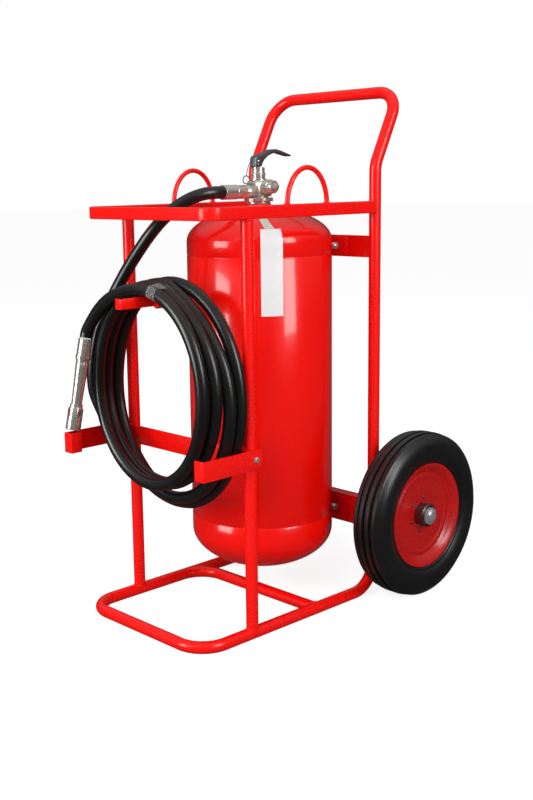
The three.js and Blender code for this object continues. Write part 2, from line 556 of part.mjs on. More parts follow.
// Open head with a pair of flats and two pairs of slots.
function nozzleHead() {
  const shell = lathe([[10.5, -192.3], [15.2, -192.3], [16, -190], [16, -160], [13.4, -150], [12.4, -138.3],
    [6.2, -138.3], [6.2, -150], [10.5, -158], [10.5, -192.3]], 24);
  return onNozzle(cut(shell, box(-4, 4, -30, 30, -186, -166), box(-30, 30, -4, 4, -186, -166)));
}

const hoseLead = () => sweep(roundShape(HOSE_R, 10), spline(LEAD, 20));
function hoseTail() {
  const path = spline([...frontTurn(), ...TAIL], 30);
  path.stations.push(new THREE.Vector3(-185, -327.83, 590.8));
  return sweep(roundShape(HOSE_R, 10), path);
}


// Clear strap round the front strand at the top of the coil.
const coilTie = () => alongX(ring(15.2, 14.1, -8, 8, 24)).rotateY(-0.28).translate(-75, -321.6, 690);

add('hose_lead', hoseLead(), 'hoseRubber');
add('hose_coil', coilSolid(), 'hoseRubber');
add('hose_tail', hoseTail(), 'hoseRubber');
add('coil_tie', coilTie(), 'paper');
add('nozzle_ferrule', nozzleFerrule(), 'nickel');
add('nozzle_barrel', nozzleBarrel(), 'nickel');
add('nozzle_head', nozzleHead(), 'nickel');

// Put the origin under the middle of the whole trolley.
root.position.y = -13.5;

export default root;
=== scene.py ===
import math
import bmesh
import bpy
from mathutils import Matrix, Vector


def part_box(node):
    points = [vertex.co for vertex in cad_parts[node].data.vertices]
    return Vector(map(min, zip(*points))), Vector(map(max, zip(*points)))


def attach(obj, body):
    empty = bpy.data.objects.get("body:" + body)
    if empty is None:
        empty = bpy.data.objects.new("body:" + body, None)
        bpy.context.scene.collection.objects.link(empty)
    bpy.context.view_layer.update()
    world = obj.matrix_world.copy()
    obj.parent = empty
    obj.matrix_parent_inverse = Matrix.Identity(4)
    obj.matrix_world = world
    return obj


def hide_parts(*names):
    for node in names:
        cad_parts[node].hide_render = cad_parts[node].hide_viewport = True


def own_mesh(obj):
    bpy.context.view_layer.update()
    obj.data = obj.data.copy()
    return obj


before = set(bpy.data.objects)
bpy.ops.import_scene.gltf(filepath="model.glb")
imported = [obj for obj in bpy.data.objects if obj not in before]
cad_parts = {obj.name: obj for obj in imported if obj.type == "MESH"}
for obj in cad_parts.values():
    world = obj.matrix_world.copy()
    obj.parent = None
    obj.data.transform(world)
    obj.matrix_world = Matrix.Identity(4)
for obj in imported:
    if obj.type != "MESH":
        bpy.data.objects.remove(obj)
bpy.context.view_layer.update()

# Wheeled fire extinguisher. Metres, +Z up, hose side -Y, handle side +Y.
low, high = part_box("cylinder_shell")
axisY = (low.y + high.y) / 2          # the cylinder's axis stands at x = 0, y = axisY
cylinderRadius = (high.x - low.x) / 2


def at(x, y, z):
    return Vector((x, y + axisY, z))


def addObject(name, data):
    made = bpy.data.objects.new(name, data)
    bpy.context.scene.collection.objects.link(made)
    return made


# the object's mesh with its modifiers applied; the object and its helpers go
def bake(holder, *helpers):
    bpy.context.view_layer.update()
    plain = bpy.data.meshes.new_from_object(holder.evaluated_get(bpy.context.evaluated_depsgraph_get()))
    for gone in (holder, *helpers):
        bpy.data.objects.remove(gone)
    return plain


# camera
view = {"place": (1.7131, -1.6969, 0.9095), "forward": (-0.72342, 0.66555, -0.18361),
        "up": (-0.12248, 0.13801, 0.98283), "lens": 50.62, "shift": (0.0581, -0.0125)}


def makeCamera():
    data = bpy.data.cameras.new("studioCamera")
    data.lens, data.sensor_width = view["lens"], 36
    data.shift_x, data.shift_y = view["shift"]
    data.clip_start, data.clip_end = 0.05, 50
    camera = addObject("studioCamera", data)
    ahead = Vector(view["forward"]).normalized()
    right = ahead.cross(Vector(view["up"])).normalized()
    turn = Matrix((right, right.cross(ahead), -ahead)).transposed()
    camera.matrix_world = Matrix.Translation(at(*view["place"])) @ turn.to_4x4()
    bpy.context.scene.camera = camera


makeCamera()
print("camera set")


# shader helpers
def addNode(tree, kind, inputs=None, **settings):
    made = tree.nodes.new(kind)
    for key, value in settings.items():
        setattr(made, key, value)
    for key, value in (inputs or {}).items():
        if isinstance(value, bpy.types.NodeSocket):
            tree.links.new(value, made.inputs[key])
        else:
            made.inputs[key].default_value = value
    return made


def makeGroup(name, inputs, outputs):
    group = bpy.data.node_groups.new(name, "ShaderNodeTree")
    for socket, value in inputs.items():
        made = group.interface.new_socket(socket, in_out="INPUT", socket_type="NodeSocketFloat")
        made.default_value = value
    for socket in outputs:
        group.interface.new_socket(socket, in_out="OUTPUT", socket_type="NodeSocketFloat")
    return group, group.nodes.new("NodeGroupInput"), group.nodes.new("NodeGroupOutput")


def emptyTree(owner):
    owner.use_nodes = True
    owner.node_tree.nodes.clear()
    return owner.node_tree


# fine and broad grain on object coordinates: a mask for colour and roughness, a height for bumps
def grainGroup():
    group, given, out = makeGroup("surfaceGrain", {"Scale": 200.0, "Stretch": 1.0}, ("Mask", "Height"))
    place = addNode(group, "ShaderNodeTexCoord")
    spread = addNode(group, "ShaderNodeCombineXYZ", {"X": 1.0, "Y": 1.0})
    group.links.new(given.outputs["Stretch"], spread.inputs["Z"])
    scaled = addNode(group, "ShaderNodeVectorMath", {0: place.outputs["Object"],
        1: spread.outputs["Vector"]}, operation="MULTIPLY")
    broad = addNode(group, "ShaderNodeTexNoise", {"Vector": scaled.outputs[0], "Scale": 9.0, "Detail": 3.0})
    fine = addNode(group, "ShaderNodeTexNoise", {"Vector": scaled.outputs[0],
        "Scale": given.outputs["Scale"], "Detail": 4.0})
    both = addNode(group, "ShaderNodeMath", {0: broad.outputs["Fac"], 1: fine.outputs["Fac"]},
        operation="ADD")
    half = addNode(group, "ShaderNodeMath", {0: both.outputs[0], 1: 0.5}, operation="MULTIPLY")
    group.links.new(half.outputs[0], out.inputs["Mask"])
    group.links.new(fine.outputs["Fac"], out.inputs["Height"])
    return group


# short scratches and rubbed spots: thin threshold of stretched noise
def scuffGroup():
    group, given, out = makeGroup("scuffMarks", {"Scale": 40.0, "Amount": 0.3}, ("Mask",))
    place = addNode(group, "ShaderNodeTexCoord")
    warp = addNode(group, "ShaderNodeMapping", {"Vector": place.outputs["Object"],
        "Rotation": (0.4, 0.9, 0.2), "Scale": (1.0, 5.0, 1.0)})
    lines = addNode(group, "ShaderNodeTexNoise", {"Vector": warp.outputs["Vector"],
        "Scale": given.outputs["Scale"], "Detail": 6.0})
    patch = addNode(group, "ShaderNodeTexNoise", {"Vector": place.outputs["Object"], "Scale": 6.0,
        "Detail": 2.0})
    both = addNode(group, "ShaderNodeMath", {0: lines.outputs["Fac"], 1: patch.outputs["Fac"]},
        operation="MULTIPLY")
    ramp = addNode(group, "ShaderNodeMapRange", {"Value": both.outputs[0], "From Min": 0.36,
        "From Max": 0.42})
    shown = addNode(group, "ShaderNodeMath", {0: ramp.outputs[0], 1: given.outputs["Amount"]},
        operation="MULTIPLY")
    group.links.new(shown.outputs[0], out.inputs["Mask"])
    return group


# dust that settles on faces looking up
def dustGroup():
    group, given, out = makeGroup("settledDust", {"Amount": 0.2}, ("Mask",))
    shape = addNode(group, "ShaderNodeNewGeometry")
    split = addNode(group, "ShaderNodeSeparateXYZ", {"Vector": shape.outputs["Normal"]})
    place = addNode(group, "ShaderNodeTexCoord")
    cloud = addNode(group, "ShaderNodeTexNoise", {"Vector": place.outputs["Object"], "Scale": 30.0,
        "Detail": 5.0})
    up = addNode(group, "ShaderNodeMapRange", {"Value": split.outputs["Z"], "From Min": 0.2, "From Max": 1.0})
    both = addNode(group, "ShaderNodeMath", {0: up.outputs[0], 1: cloud.outputs["Fac"]}, operation="MULTIPLY")
    shown = addNode(group, "ShaderNodeMath", {0: both.outputs[0], 1: given.outputs["Amount"]},
        operation="MULTIPLY")
    group.links.new(shown.outputs[0], out.inputs["Mask"])
    return group


grain, scuffs, dust = grainGroup(), scuffGroup(), dustGroup()


# one material: two close colours mixed by the grain, then scuffs and dust, with grain in roughness and bump
def makeFinish(name, colour, second, roughness, metal=0.0, grainScale=300.0, stretch=1.0, bump=0.05,
        bumpDepth=0.0004, scuff=0.0, scuffColour=(0.5, 0.5, 0.5), dusty=0.0, dustColour=(0.45, 0.42, 0.38),
        **shaderSockets):
    material = bpy.data.materials.new(name)
    tree = emptyTree(material)
    out = addNode(tree, "ShaderNodeOutputMaterial")
    shader = addNode(tree, "ShaderNodeBsdfPrincipled", {"Metallic": metal})
    for socket, value in shaderSockets.items():
        shader.inputs[socket.replace("_", " ")].default_value = value
    tree.links.new(shader.outputs["BSDF"], out.inputs["Surface"])

    speckle = addNode(tree, "ShaderNodeGroup", node_tree=grain)
    speckle.inputs["Scale"].default_value, speckle.inputs["Stretch"].default_value = grainScale, stretch
    spread = addNode(tree, "ShaderNodeMapRange", {"Value": speckle.outputs["Mask"], "From Min": 0.35,
        "From Max": 0.65})
    tone = addNode(tree, "ShaderNodeMix", {0: spread.outputs[0]}, data_type="RGBA")
    tone.inputs[6].default_value, tone.inputs[7].default_value = (*colour, 1), (*second, 1)
    rubbed = addNode(tree, "ShaderNodeGroup", node_tree=scuffs)
    rubbed.inputs["Amount"].default_value = scuff
    worn = addNode(tree, "ShaderNodeMix", {0: rubbed.outputs["Mask"]}, data_type="RGBA")
    tree.links.new(tone.outputs[2], worn.inputs[6])
    worn.inputs[7].default_value = (*scuffColour, 1)
    settled = addNode(tree, "ShaderNodeGroup", node_tree=dust)
    settled.inputs["Amount"].default_value = dusty
    dusted = addNode(tree, "ShaderNodeMix", {0: settled.outputs["Mask"]}, data_type="RGBA")
    tree.links.new(worn.outputs[2], dusted.inputs[6])
    dusted.inputs[7].default_value = (*dustColour, 1)
    tree.links.new(dusted.outputs[2], shader.inputs["Base Color"])

    sheen = addNode(tree, "ShaderNodeMapRange", {"Value": speckle.outputs["Mask"], "From Min": 0.3,
        "From Max": 0.7, "To Min": roughness * 0.82, "To Max": roughness * 1.18})
    rough = addNode(tree, "ShaderNodeMath", {0: sheen.outputs[0], 1: rubbed.outputs["Mask"]},
        operation="ADD", use_clamp=True)
    tree.links.new(rough.outputs[0], shader.inputs["Roughness"])
    relief = addNode(tree, "ShaderNodeBump", {"Strength": bump, "Distance": bumpDepth,
        "Height": speckle.outputs["Height"]})
    tree.links.new(relief.outputs["Normal"], shader.inputs["Normal"])
    return material


finishes = {
    "frame_paint": makeFinish("framePaint", (0.79, 0.0036, 0.0014), (0.75, 0.003, 0.0012), 0.27,
        grainScale=260, bump=0.012, scuff=0.02, scuffColour=(0.5, 0.006, 0.004), Coat_Weight=0.2,
        Coat_Roughness=0.08, Specular_IOR_Level=0.38),
    "cylinder_paint": makeFinish("cylinderPaint", (0.78, 0.0034, 0.0014), (0.74, 0.003, 0.0012), 0.2,
        grainScale=130, bump=0.015, scuff=0.03, scuffColour=(0.5, 0.008, 0.005), Coat_Weight=0.5,
        Coat_Roughness=0.05, Specular_IOR_Level=0.38),
    "rim_paint": makeFinish("rimPaint", (0.44, 0.004, 0.0035), (0.36, 0.0035, 0.003), 0.28, grainScale=400,
        bump=0.03, scuff=0.08, scuffColour=(0.2, 0.01, 0.01), Coat_Weight=0.2, Coat_Roughness=0.2),
    "tyre_rubber": makeFinish("tyreRubber", (0.004, 0.0038, 0.0038), (0.008, 0.0075, 0.0072), 0.34,
        grainScale=900, bump=0.12, scuff=0.06, scuffColour=(0.03, 0.03, 0.03), dusty=0.02,
        Specular_IOR_Level=0.62),
    "hose_rubber": makeFinish("hoseRubber", (0.0032, 0.0032, 0.003), (0.006, 0.006, 0.0058), 0.3,
        grainScale=1400, bump=0.08, scuff=0.05, scuffColour=(0.03, 0.03, 0.03), Specular_IOR_Level=0.75),
    "nickel_plate": makeFinish("nickelPlate", (0.8, 0.77, 0.7), (0.68, 0.64, 0.57), 0.2, metal=0.84,
        grainScale=500, bump=0.012, scuff=0.12, scuffColour=(0.42, 0.38, 0.33)),
    "zinc_plate": makeFinish("zincPlate", (0.75, 0.76, 0.76), (0.6, 0.62, 0.63), 0.24, metal=0.82,
        grainScale=900, bump=0.02, scuff=0.1, scuffColour=(0.45, 0.44, 0.42)),
    "hub_steel": makeFinish("hubSteel", (0.2, 0.17, 0.16), (0.13, 0.11, 0.105), 0.34, metal=0.95,
        grainScale=500, bump=0.15, scuff=0.2, scuffColour=(0.28, 0.25, 0.23)),
    "cast_lever": makeFinish("castLever", (0.23, 0.255, 0.28), (0.16, 0.18, 0.2), 0.34, metal=0.9,
        grainScale=600, bump=0.03, scuff=0.1, scuffColour=(0.4, 0.42, 0.43)),
    "brass": makeFinish("plainBrass", (0.62, 0.46, 0.2), (0.5, 0.36, 0.15), 0.35, metal=1.0, bump=0.1),
    "label_film": makeFinish("labelFilm", (0.74, 0.745, 0.76), (0.69, 0.7, 0.715), 0.35, grainScale=90,
        bump=0.06, Coat_Weight=0.3),
    "tag_film": makeFinish("tagFilm", (0.62, 0.6, 0.52), (0.42, 0.5, 0.42), 0.3, grainScale=160, bump=0.05,
        Coat_Weight=0.3),
    "clear_strap": makeFinish("clearStrap", (0.9, 0.91, 0.92), (0.8, 0.82, 0.83), 0.12, grainScale=240,
        bump=0.1, Transmission_Weight=0.92, IOR=1.2),
}
print("materials made:", len(finishes))


# mesh helpers
def shade(mesh, angle=38):
    mesh.shade_smooth()
    mesh.set_sharp_from_angle(angle=math.radians(angle))


def makePiece(name, mesh, slot, body, nodes=(), angle=38):
    shade(mesh, angle)
    mesh.materials.clear()
    mesh.materials.append(finishes[slot])
    piece = addObject(name, mesh)
    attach(piece, body)
    if nodes:
        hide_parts(*nodes)
    return piece


def meshFrom(name, points, faces):
    mesh = bpy.data.meshes.new(name)
    mesh.from_pydata([tuple(p) for p in points], [], faces)
    work = bmesh.new()
    work.from_mesh(mesh)
    bmesh.ops.remove_doubles(work, verts=work.verts, dist=1e-7)
    bmesh.ops.recalc_face_normals(work, faces=work.faces)
    work.to_mesh(mesh)
    work.free()
    return mesh


# profile of (radius, distance along the axis), turned about a line through centre
def revolve(name, profile, centre=(0, 0, 0), axis="z", segments=96):
    middle = Vector(centre)
    rows, points, faces = [], [], []
    for radius, along in profile:
        if radius < 1e-7:
            rows.append([len(points)] * segments)
            points.append((0, 0, along))
        else:
            rows.append(list(range(len(points), len(points) + segments)))
            points += [(radius * math.cos(t), radius * math.sin(t), along) for t in around(segments)]
    for a, b in zip(rows, rows[1:]):
        for k in range(segments):
            corners = [a[k], a[(k + 1) % segments], b[(k + 1) % segments], b[k]]
            kept = [c for i, c in enumerate(corners) if c not in corners[:i]]
            if len(kept) > 2:
                faces.append(kept)
    if axis == "z":
        turn = Matrix.Identity(3)
    elif axis == "x":
        turn = Matrix.Rotation(math.pi / 2, 3, "Y")
    else:
        turn = Vector((0, 0, 1)).rotation_difference(Vector(axis)).to_matrix()
    return meshFrom(name, [turn @ Vector(p) + middle for p in points], faces)


def around(count):
    return [2 * math.pi * k / count for k in range(count)]


def arc(cx, cz, radius, start, end, steps):
    turns = [math.radians(start + (end - start) * k / steps) for k in range(steps + 1)]
    return [(cx + radius * math.cos(t), cz + radius * math.sin(t)) for t in turns]


# straight runs with round bends at the inner corners
def bentPath(corners, bend, steps=14):
    p = [Vector(q) for q in corners]
    path = [p[0]]
    for before, here, after in zip(p, p[1:], p[2:]):
        a, b = (before - here).normalized(), (after - here).normalized()
        angle = a.angle(b)
        middle = here + (a + b).normalized() * (bend / math.sin(angle / 2))
        start = here + a * (bend / math.tan(angle / 2)) - middle
        turnAxis = start.cross(here + b * (bend / math.tan(angle / 2)) - middle).normalized()
        count = max(3, round(steps * (math.pi - angle) / (math.pi / 2)))
        path += [Matrix.Rotation((math.pi - angle) * k / count, 3, turnAxis) @ start + middle
            for k in range(count + 1)]
    return path + [p[-1]]


# geometry node trees take a path of edges and a material, and give one plain mesh
def pathSockets(tree, values, result):
    for name, kind in (("Path", "Geometry"), *values, ("Material", "Material")):
        tree.interface.new_socket(name, in_out="INPUT", socket_type="NodeSocket" + kind)
    tree.interface.new_socket(result, in_out="OUTPUT", socket_type="NodeSocketGeometry")
    return tree.nodes.new("NodeGroupInput"), tree.nodes.new("NodeGroupOutput")


def finishTree(tree, shape, given, out):
    real = addNode(tree, "GeometryNodeRealizeInstances", {"Geometry": shape})
    painted = addNode(tree, "GeometryNodeSetMaterial", {"Geometry": real.outputs["Geometry"],
        "Material": given.outputs["Material"]})
    tree.links.new(painted.outputs["Geometry"], out.inputs[0])
    return tree


# a round tube along the path
def tubeTree():
    tree = bpy.data.node_groups.new("roundTube", "GeometryNodeTree")
    given, out = pathSockets(tree, (("Radius", "Float"), ("Sides", "Int")), "Tube")
    line = addNode(tree, "GeometryNodeMeshToCurve", {"Mesh": given.outputs["Path"]})
    circle = addNode(tree, "GeometryNodeCurvePrimitiveCircle", {"Resolution": given.outputs["Sides"],
        "Radius": given.outputs["Radius"]})
    swept = addNode(tree, "GeometryNodeCurveToMesh", {"Curve": line.outputs["Curve"],
        "Profile Curve": circle.outputs["Curve"], "Fill Caps": True})
    return finishTree(tree, swept.outputs["Mesh"], given, out)


# overlapping weld ripples along the path
def weldTree():
    tree = bpy.data.node_groups.new("weldRipples", "GeometryNodeTree")
    given, out = pathSockets(tree, (("Bead", "Float"), ("Spacing", "Float"), ("Seed", "Int")), "Weld")
    line = addNode(tree, "GeometryNodeMeshToCurve", {"Mesh": given.outputs["Path"]})
    even = addNode(tree, "GeometryNodeResampleCurve", {"Curve": line.outputs["Curve"],
        "Length": given.outputs["Spacing"]}, mode="LENGTH")
    bead = addNode(tree, "GeometryNodeMeshIcoSphere", {"Radius": given.outputs["Bead"], "Subdivisions": 2})
    along = addNode(tree, "GeometryNodeInputTangent")
    turn = addNode(tree, "FunctionNodeAlignRotationToVector", {"Vector": along.outputs[0]}, axis="Z")
    size = addNode(tree, "FunctionNodeRandomValue", {"Seed": given.outputs["Seed"]}, data_type="FLOAT_VECTOR")
    size.inputs[0].default_value, size.inputs[1].default_value = (0.85, 0.85, 0.6), (1.15, 1.15, 0.75)
    dots = addNode(tree, "GeometryNodeInstanceOnPoints", {"Points": even.outputs["Curve"],
        "Instance": bead.outputs["Mesh"], "Rotation": turn.outputs[0], "Scale": size.outputs[0]})
    return finishTree(tree, dots.outputs["Instances"], given, out)


roundTube, weldRipples = tubeTree(), weldTree()


def runTree(name, tree, paths, values):
    mesh = bpy.data.meshes.new(name + "Path")
    points, edges = [], []
    for path, closed in paths:
        first = len(points)
        points += [tuple(p) for p in path]
        edges += [(first + k, first + k + 1) for k in range(len(path) - 1)]
        if closed:
            edges.append((len(points) - 1, first))
    mesh.from_pydata(points, edges, [])
    holder = addObject(name + "Path", mesh)
    modifier = holder.modifiers.new("build", "NODES")
    modifier.node_group = tree
    for item in tree.interface.items_tree:
        if item.in_out == "INPUT" and item.name in values:
            modifier[item.identifier] = values[item.name]
    plain = bake(holder)
    plain.name = name
    return plain


def tubePiece(name, path, radius, slot="frame_paint", body="trolley", nodes=(), sides=40):
    mesh = runTree(name, roundTube, [(path, False)], {"Radius": radius, "Sides": sides,
        "Material": finishes[slot]})
    return makePiece(name, mesh, slot, body, nodes)


def weldPiece(name, paths, bead, spacing, seed):
    values = {"Bead": bead, "Spacing": spacing, "Seed": seed, "Material": finishes["frame_paint"]}
    return makePiece(name, runTree(name, weldRipples, paths, values), "frame_paint", "trolley", angle=180)


def roundEdges(mesh, width, steps=3, angle=30):
    holder = addObject("holder", mesh)
    rounding = holder.modifiers.new("edges", "BEVEL")
    rounding.width, rounding.segments, rounding.limit_method = width, steps, "ANGLE"
    rounding.angle_limit = math.radians(angle)
    return bake(holder)


# a CAD node's own shape with merged points and rounded edges
def fromCad(node, slot, body="trolley", edge=0.0006, steps=2):
    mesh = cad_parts[node].data.copy()
    work = bmesh.new()
    work.from_mesh(mesh)
    bmesh.ops.remove_doubles(work, verts=work.verts, dist=2e-6)
    bmesh.ops.dissolve_limit(work, angle_limit=math.radians(1.0), verts=work.verts, edges=work.edges)
    work.to_mesh(mesh)
    work.free()
    plain = roundEdges(mesh, edge, steps, 32)
    plain.name = node + "Finished"
    return makePiece(plain.name, plain, slot, body, [node], angle=30)


# hose: lead from the valve, turns on the hook, tail to the nozzle
hose = {
    "diameter": 0.026, "sides": 28,
    "lead": [(0, -0.106, 0.884), (0, -0.128, 0.884), (-0.007, -0.151, 0.8815), (-0.020, -0.174, 0.873),
        (-0.038, -0.196, 0.857),
        (-0.060, -0.217, 0.831), (-0.084, -0.233, 0.799), (-0.110, -0.243, 0.765), (-0.136, -0.251, 0.730),
        (-0.160, -0.261, 0.690), (-0.178, -0.273, 0.650), (-0.193, -0.284, 0.608), (-0.203, -0.292, 0.562),
        (-0.208, -0.296, 0.520), (-0.2085, -0.296, 0.489), (-0.206, -0.293, 0.462), (-0.193, -0.286, 0.427),
        (-0.179, -0.276, 0.390), (-0.160, -0.265, 0.350), (-0.132, -0.252, 0.313), (-0.097, -0.244, 0.283),
        (-0.052, -0.2405, 0.2635)],
    # (x, y) at each right and left pass, (y, z) at each bottom and top
    "right": [(0.187, -0.240), (0.185, -0.267), (0.176, -0.294), (0.168, -0.3215)],
    "left": [(-0.180, -0.252), (-0.181, -0.279), (-0.172, -0.306)],
    "bottom": [(-0.240, 0.258), (-0.262, 0.272), (-0.288, 0.308), (-0.316, 0.310)],
    "top": [(-0.245, 0.7095), (-0.271, 0.7088), (-0.297, 0.7064), (-0.3225, 0.7015)],
    "middle": [0.486, 0.488, 0.506, 0.506], "tuck": [1.3, 1.0, 1.0], "shoulder": [1.0, 1.5, 1.25, 1.0],
    "tail": [(-0.046, -0.3220, 0.6975), (-0.091, -0.3215, 0.684), (-0.120, -0.3217, 0.6695),
        (-0.145, -0.3224, 0.650),
        (-0.166, -0.3238, 0.6275), (-0.1795, -0.3246, 0.611), (-0.1846, -0.3254, 0.6015), (-0.185, -0.3278,
        0.5908)],
}


# a quarter of a turn, between a lowest or highest point and a side
def quarter(start, end, upright, steps=5, bulge=1.0):
    path = []
    for k in range(steps):
        t = math.pi / 2 * k / steps
        if upright:       # leaves sideways, arrives upright
            across, rise = math.sin(t) ** bulge, 1 - math.cos(t)
        else:             # leaves upright, arrives sideways
            across, rise = 1 - math.cos(t) ** bulge, math.sin(t)
        path.append(start + Vector(((end.x - start.x) * across, (end.y - start.y) * k / steps,
            (end.z - start.z) * rise)))
    return path


def hoseRoute():
    points = [at(*p) for p in hose["lead"]]
    for turn in range(4):
        bottom = at(0, *hose["bottom"][turn])
        side = at(*hose["right"][turn], hose["middle"][turn])
        top = at(0, *hose["top"][turn])
        points += quarter(bottom, side, True) + quarter(side, top, False, bulge=hose["shoulder"][turn])
        if turn < 3:
            other = at(*hose["left"][turn], (hose["middle"][turn] + hose["middle"][turn + 1]) / 2)
            points += quarter(top, other, True)
            points += quarter(other, at(0, *hose["bottom"][turn + 1]), False, bulge=hose["tuck"][turn])
    points.append(top)
    return points + [at(*p) for p in hose["tail"]]


# a smooth line through the points, in short even steps
def smoothLine(points, per=5):
    p = [points[0] * 2 - points[1]] + points + [points[-1] * 2 - points[-2]]
    line = []
    for a, b, c, d in zip(p, p[1:], p[2:], p[3:]):
        for k in range(per):
            t = k / per
            line.append(0.5 * (
                (2 * b) + (c - a) * t + (2 * a - 5 * b + 4 * c - d) * t * t + (
                3 * b - a - 3 * c + d) * t ** 3))
    return line + [points[-1]]


hoseLine = smoothLine(hoseRoute())
hosePiece = tubePiece("dischargeHose", hoseLine, hose["diameter"] / 2, "hose_rubber",
    nodes=["hose_lead", "hose_coil", "hose_tail"], sides=hose["sides"])

# nozzle, along its own axis from the hose end to the mouth
nozzle = {"top": (-0.185, -0.328, 0.590), "tip": (-0.185, -0.371, 0.398), "bore": 0.0062}
nozzleAxis = (at(*nozzle["tip"]) - at(*nozzle["top"])).normalized()


def nozzlePart(name, node, profile, segments=64):
    return makePiece(name, revolve(name, profile, at(*nozzle["top"]), nozzleAxis, segments), "nickel_plate",
        "trolley", [node], angle=28)


bore = nozzle["bore"]
nozzleFerrule = nozzlePart("nozzleFerrule", "nozzle_ferrule", [(bore, 0.045), (0.0138, 0.045),
    (0.0146, 0.0442), (0.0156, 0.0432), (0.0158, 0.0415), (0.0158, 0.0345), (0.0152, 0.0335),
    (0.0145, 0.033), (0.0145, 0.0318), (0.0150, 0.031), (0.0150, 0.0215), (0.0144, 0.0208),
    (0.0144, 0.0192), (0.0150, 0.0185), (0.0150, 0.0105), (0.0144, 0.0098), (0.0144, 0.0082),
    (0.0150, 0.0075), (0.0150, 0.0015), (0.0145, 0.0004), (bore, 0.0004), (bore, 0.045)])
nozzleBarrel = nozzlePart("nozzleBarrel", "nozzle_barrel", [(bore, 0.138), (0.0112, 0.138), (0.0113, 0.128),
    (0.0118, 0.110), (0.0127, 0.082), (0.0136, 0.060), (0.0138, 0.053), (0.0131, 0.0515), (0.0131, 0.0503),
    (0.0138, 0.0490), (0.0138, 0.0453), (bore, 0.0453), (bore, 0.138)])


# cuts boxes of (centre, turn, size) out of a mesh
def carve(mesh, *cutters):
    holder = addObject("holder", mesh)
    tools = []
    for centre, turn, size in cutters:
        block = bpy.data.meshes.new("block")
        work = bmesh.new()
        bmesh.ops.create_cube(work, size=1.0)
        work.to_mesh(block)
        work.free()
        tool = addObject("block", block)
        tool.matrix_world = Matrix.Translation(centre) @ turn.to_4x4() @ Matrix.Diagonal((*size, 1))
        tools.append(tool)
        away = holder.modifiers.new("cut", "BOOLEAN")
        away.object, away.operation, away.solver = tool, "DIFFERENCE", "EXACT"
    return bake(holder, *tools)


headShape = revolve("nozzleHead", [(0.0105, 0.1923), (0.0150, 0.1923), (0.0157, 0.1915), (0.0160, 0.1900),
    (0.0160, 0.1780), (0.0154, 0.1774), (0.0154, 0.1766), (0.0160, 0.1760), (0.0160, 0.1480),
    (0.0157, 0.1470), (0.0140, 0.1462), (0.0136, 0.1450), (0.0136, 0.1395), (0.0130, 0.1385),
    (bore, 0.1383), (bore, 0.1500), (0.0105, 0.1580), (0.0105, 0.1923)], at(*nozzle["top"]), nozzleAxis, 64)
facing = Vector((0, 0, 1)).rotation_difference(nozzleAxis).to_matrix()
window = at(*nozzle["top"]) + nozzleAxis * 0.1565
headShape = carve(headShape, (window, facing, (0.0090, 0.05, 0.0150)),
    (window, facing, (0.05, 0.0090, 0.0150)))
nozzleHead = makePiece("nozzleHead", headShape, "nickel_plate", "trolley", ["nozzle_head"], angle=28)
screwAxis = Vector((0.75, -0.66, 0)).normalized()
screw = revolve("nozzleScrew", [(0, 0), (0.0032, 0), (0.0032, 0.0020), (0.0026, 0.0028), (0, 0.0030)],
    at(*nozzle["top"]) + nozzleAxis * 0.029 + screwAxis * 0.0140, screwAxis, 20)
nozzleScrew = makePiece("nozzleScrew", screw, "zinc_plate", "trolley")


# crinkled clear wrap round the two front strands near the top
wrap = {"from": 0.028, "to": 0.052, "radius": 0.0139, "around": 96, "along": 22, "film": 0.0004}


# (y, z) of a turn's centreline at x, right of its top
def strandAt(turn, x):
    (y, z), (half, sideY), middle = hose["top"][turn], hose["right"][turn], hose["middle"][turn]
    rise = math.sin(math.acos(min(1, (x / half) ** (1 / hose["shoulder"][turn]))))
    share = math.acos(min(1, x / half)) / (math.pi / 2)
    return Vector((sideY + (y - sideY) * share, middle + (z - middle) * rise))


def wrapShape():
    around, along = wrap["around"], wrap["along"]
    points, faces = [], []
    for i in range(along + 1):
        x = wrap["from"] + (wrap["to"] - wrap["from"]) * i / along
        front, back = strandAt(3, x), strandAt(2, x)
        centre, lean = (front + back) / 2, (back - front) / 2
        for k in range(around):
            t = 2 * math.pi * k / around
            out = Vector((math.cos(t), math.sin(t)))
            core = centre + lean * max(-1, min(1, out.dot(lean.normalized()) * 2.2))
            fold = 0.0007 * math.sin(9 * t + 210 * x) * math.sin(i * 1.1)
            fold += 0.0004 * math.sin(17 * t + i * 0.9)
            fold += 0.0004 * math.sin(i * 0.8)
            y, z = core + out * (wrap["radius"] + abs(fold))
            points.append(at(x + 0.0015 * math.sin(3 * t), y, z))
    for i in range(along):
        faces += [(i * around + k, i * around + (k + 1) % around, (i + 1) * around + (k + 1) % around,
            (i + 1) * around + k) for k in range(around)]
    return meshFrom("coilWrap", points, faces)


wrapMesh = wrapShape()
work = bmesh.new()
work.from_mesh(wrapMesh)
bmesh.ops.solidify(work, geom=work.faces[:], thickness=wrap["film"])
work.to_mesh(wrapMesh)
work.free()
strap = makePiece("coilWrap", wrapMesh, "clear_strap", "trolley", ["coil_tie"], angle=60)
print("hose and nozzle made")

# frame tubes
tubeFrame = {"radius": 0.0125, "half": 0.180, "front": -0.348, "upright": -0.210, "rear": 0.165,
    "cross": -0.022, "baseBend": 0.061, "handleBend": 0.056, "leanFrom": 0.934, "handleY": 0.243,
    "handleZ": 1.0865, "split": 0.207, "ringUnder": 0.8355}
r, half, rear = tubeFrame["radius"], tubeFrame["half"], tubeFrame["rear"]
split = tubeFrame["front"] + tubeFrame["baseBend"] + 0.004


def frameTube(name, corners, bend, nodes):
    return tubePiece(name, bentPath([at(*c) for c in corners], bend), r, nodes=nodes)


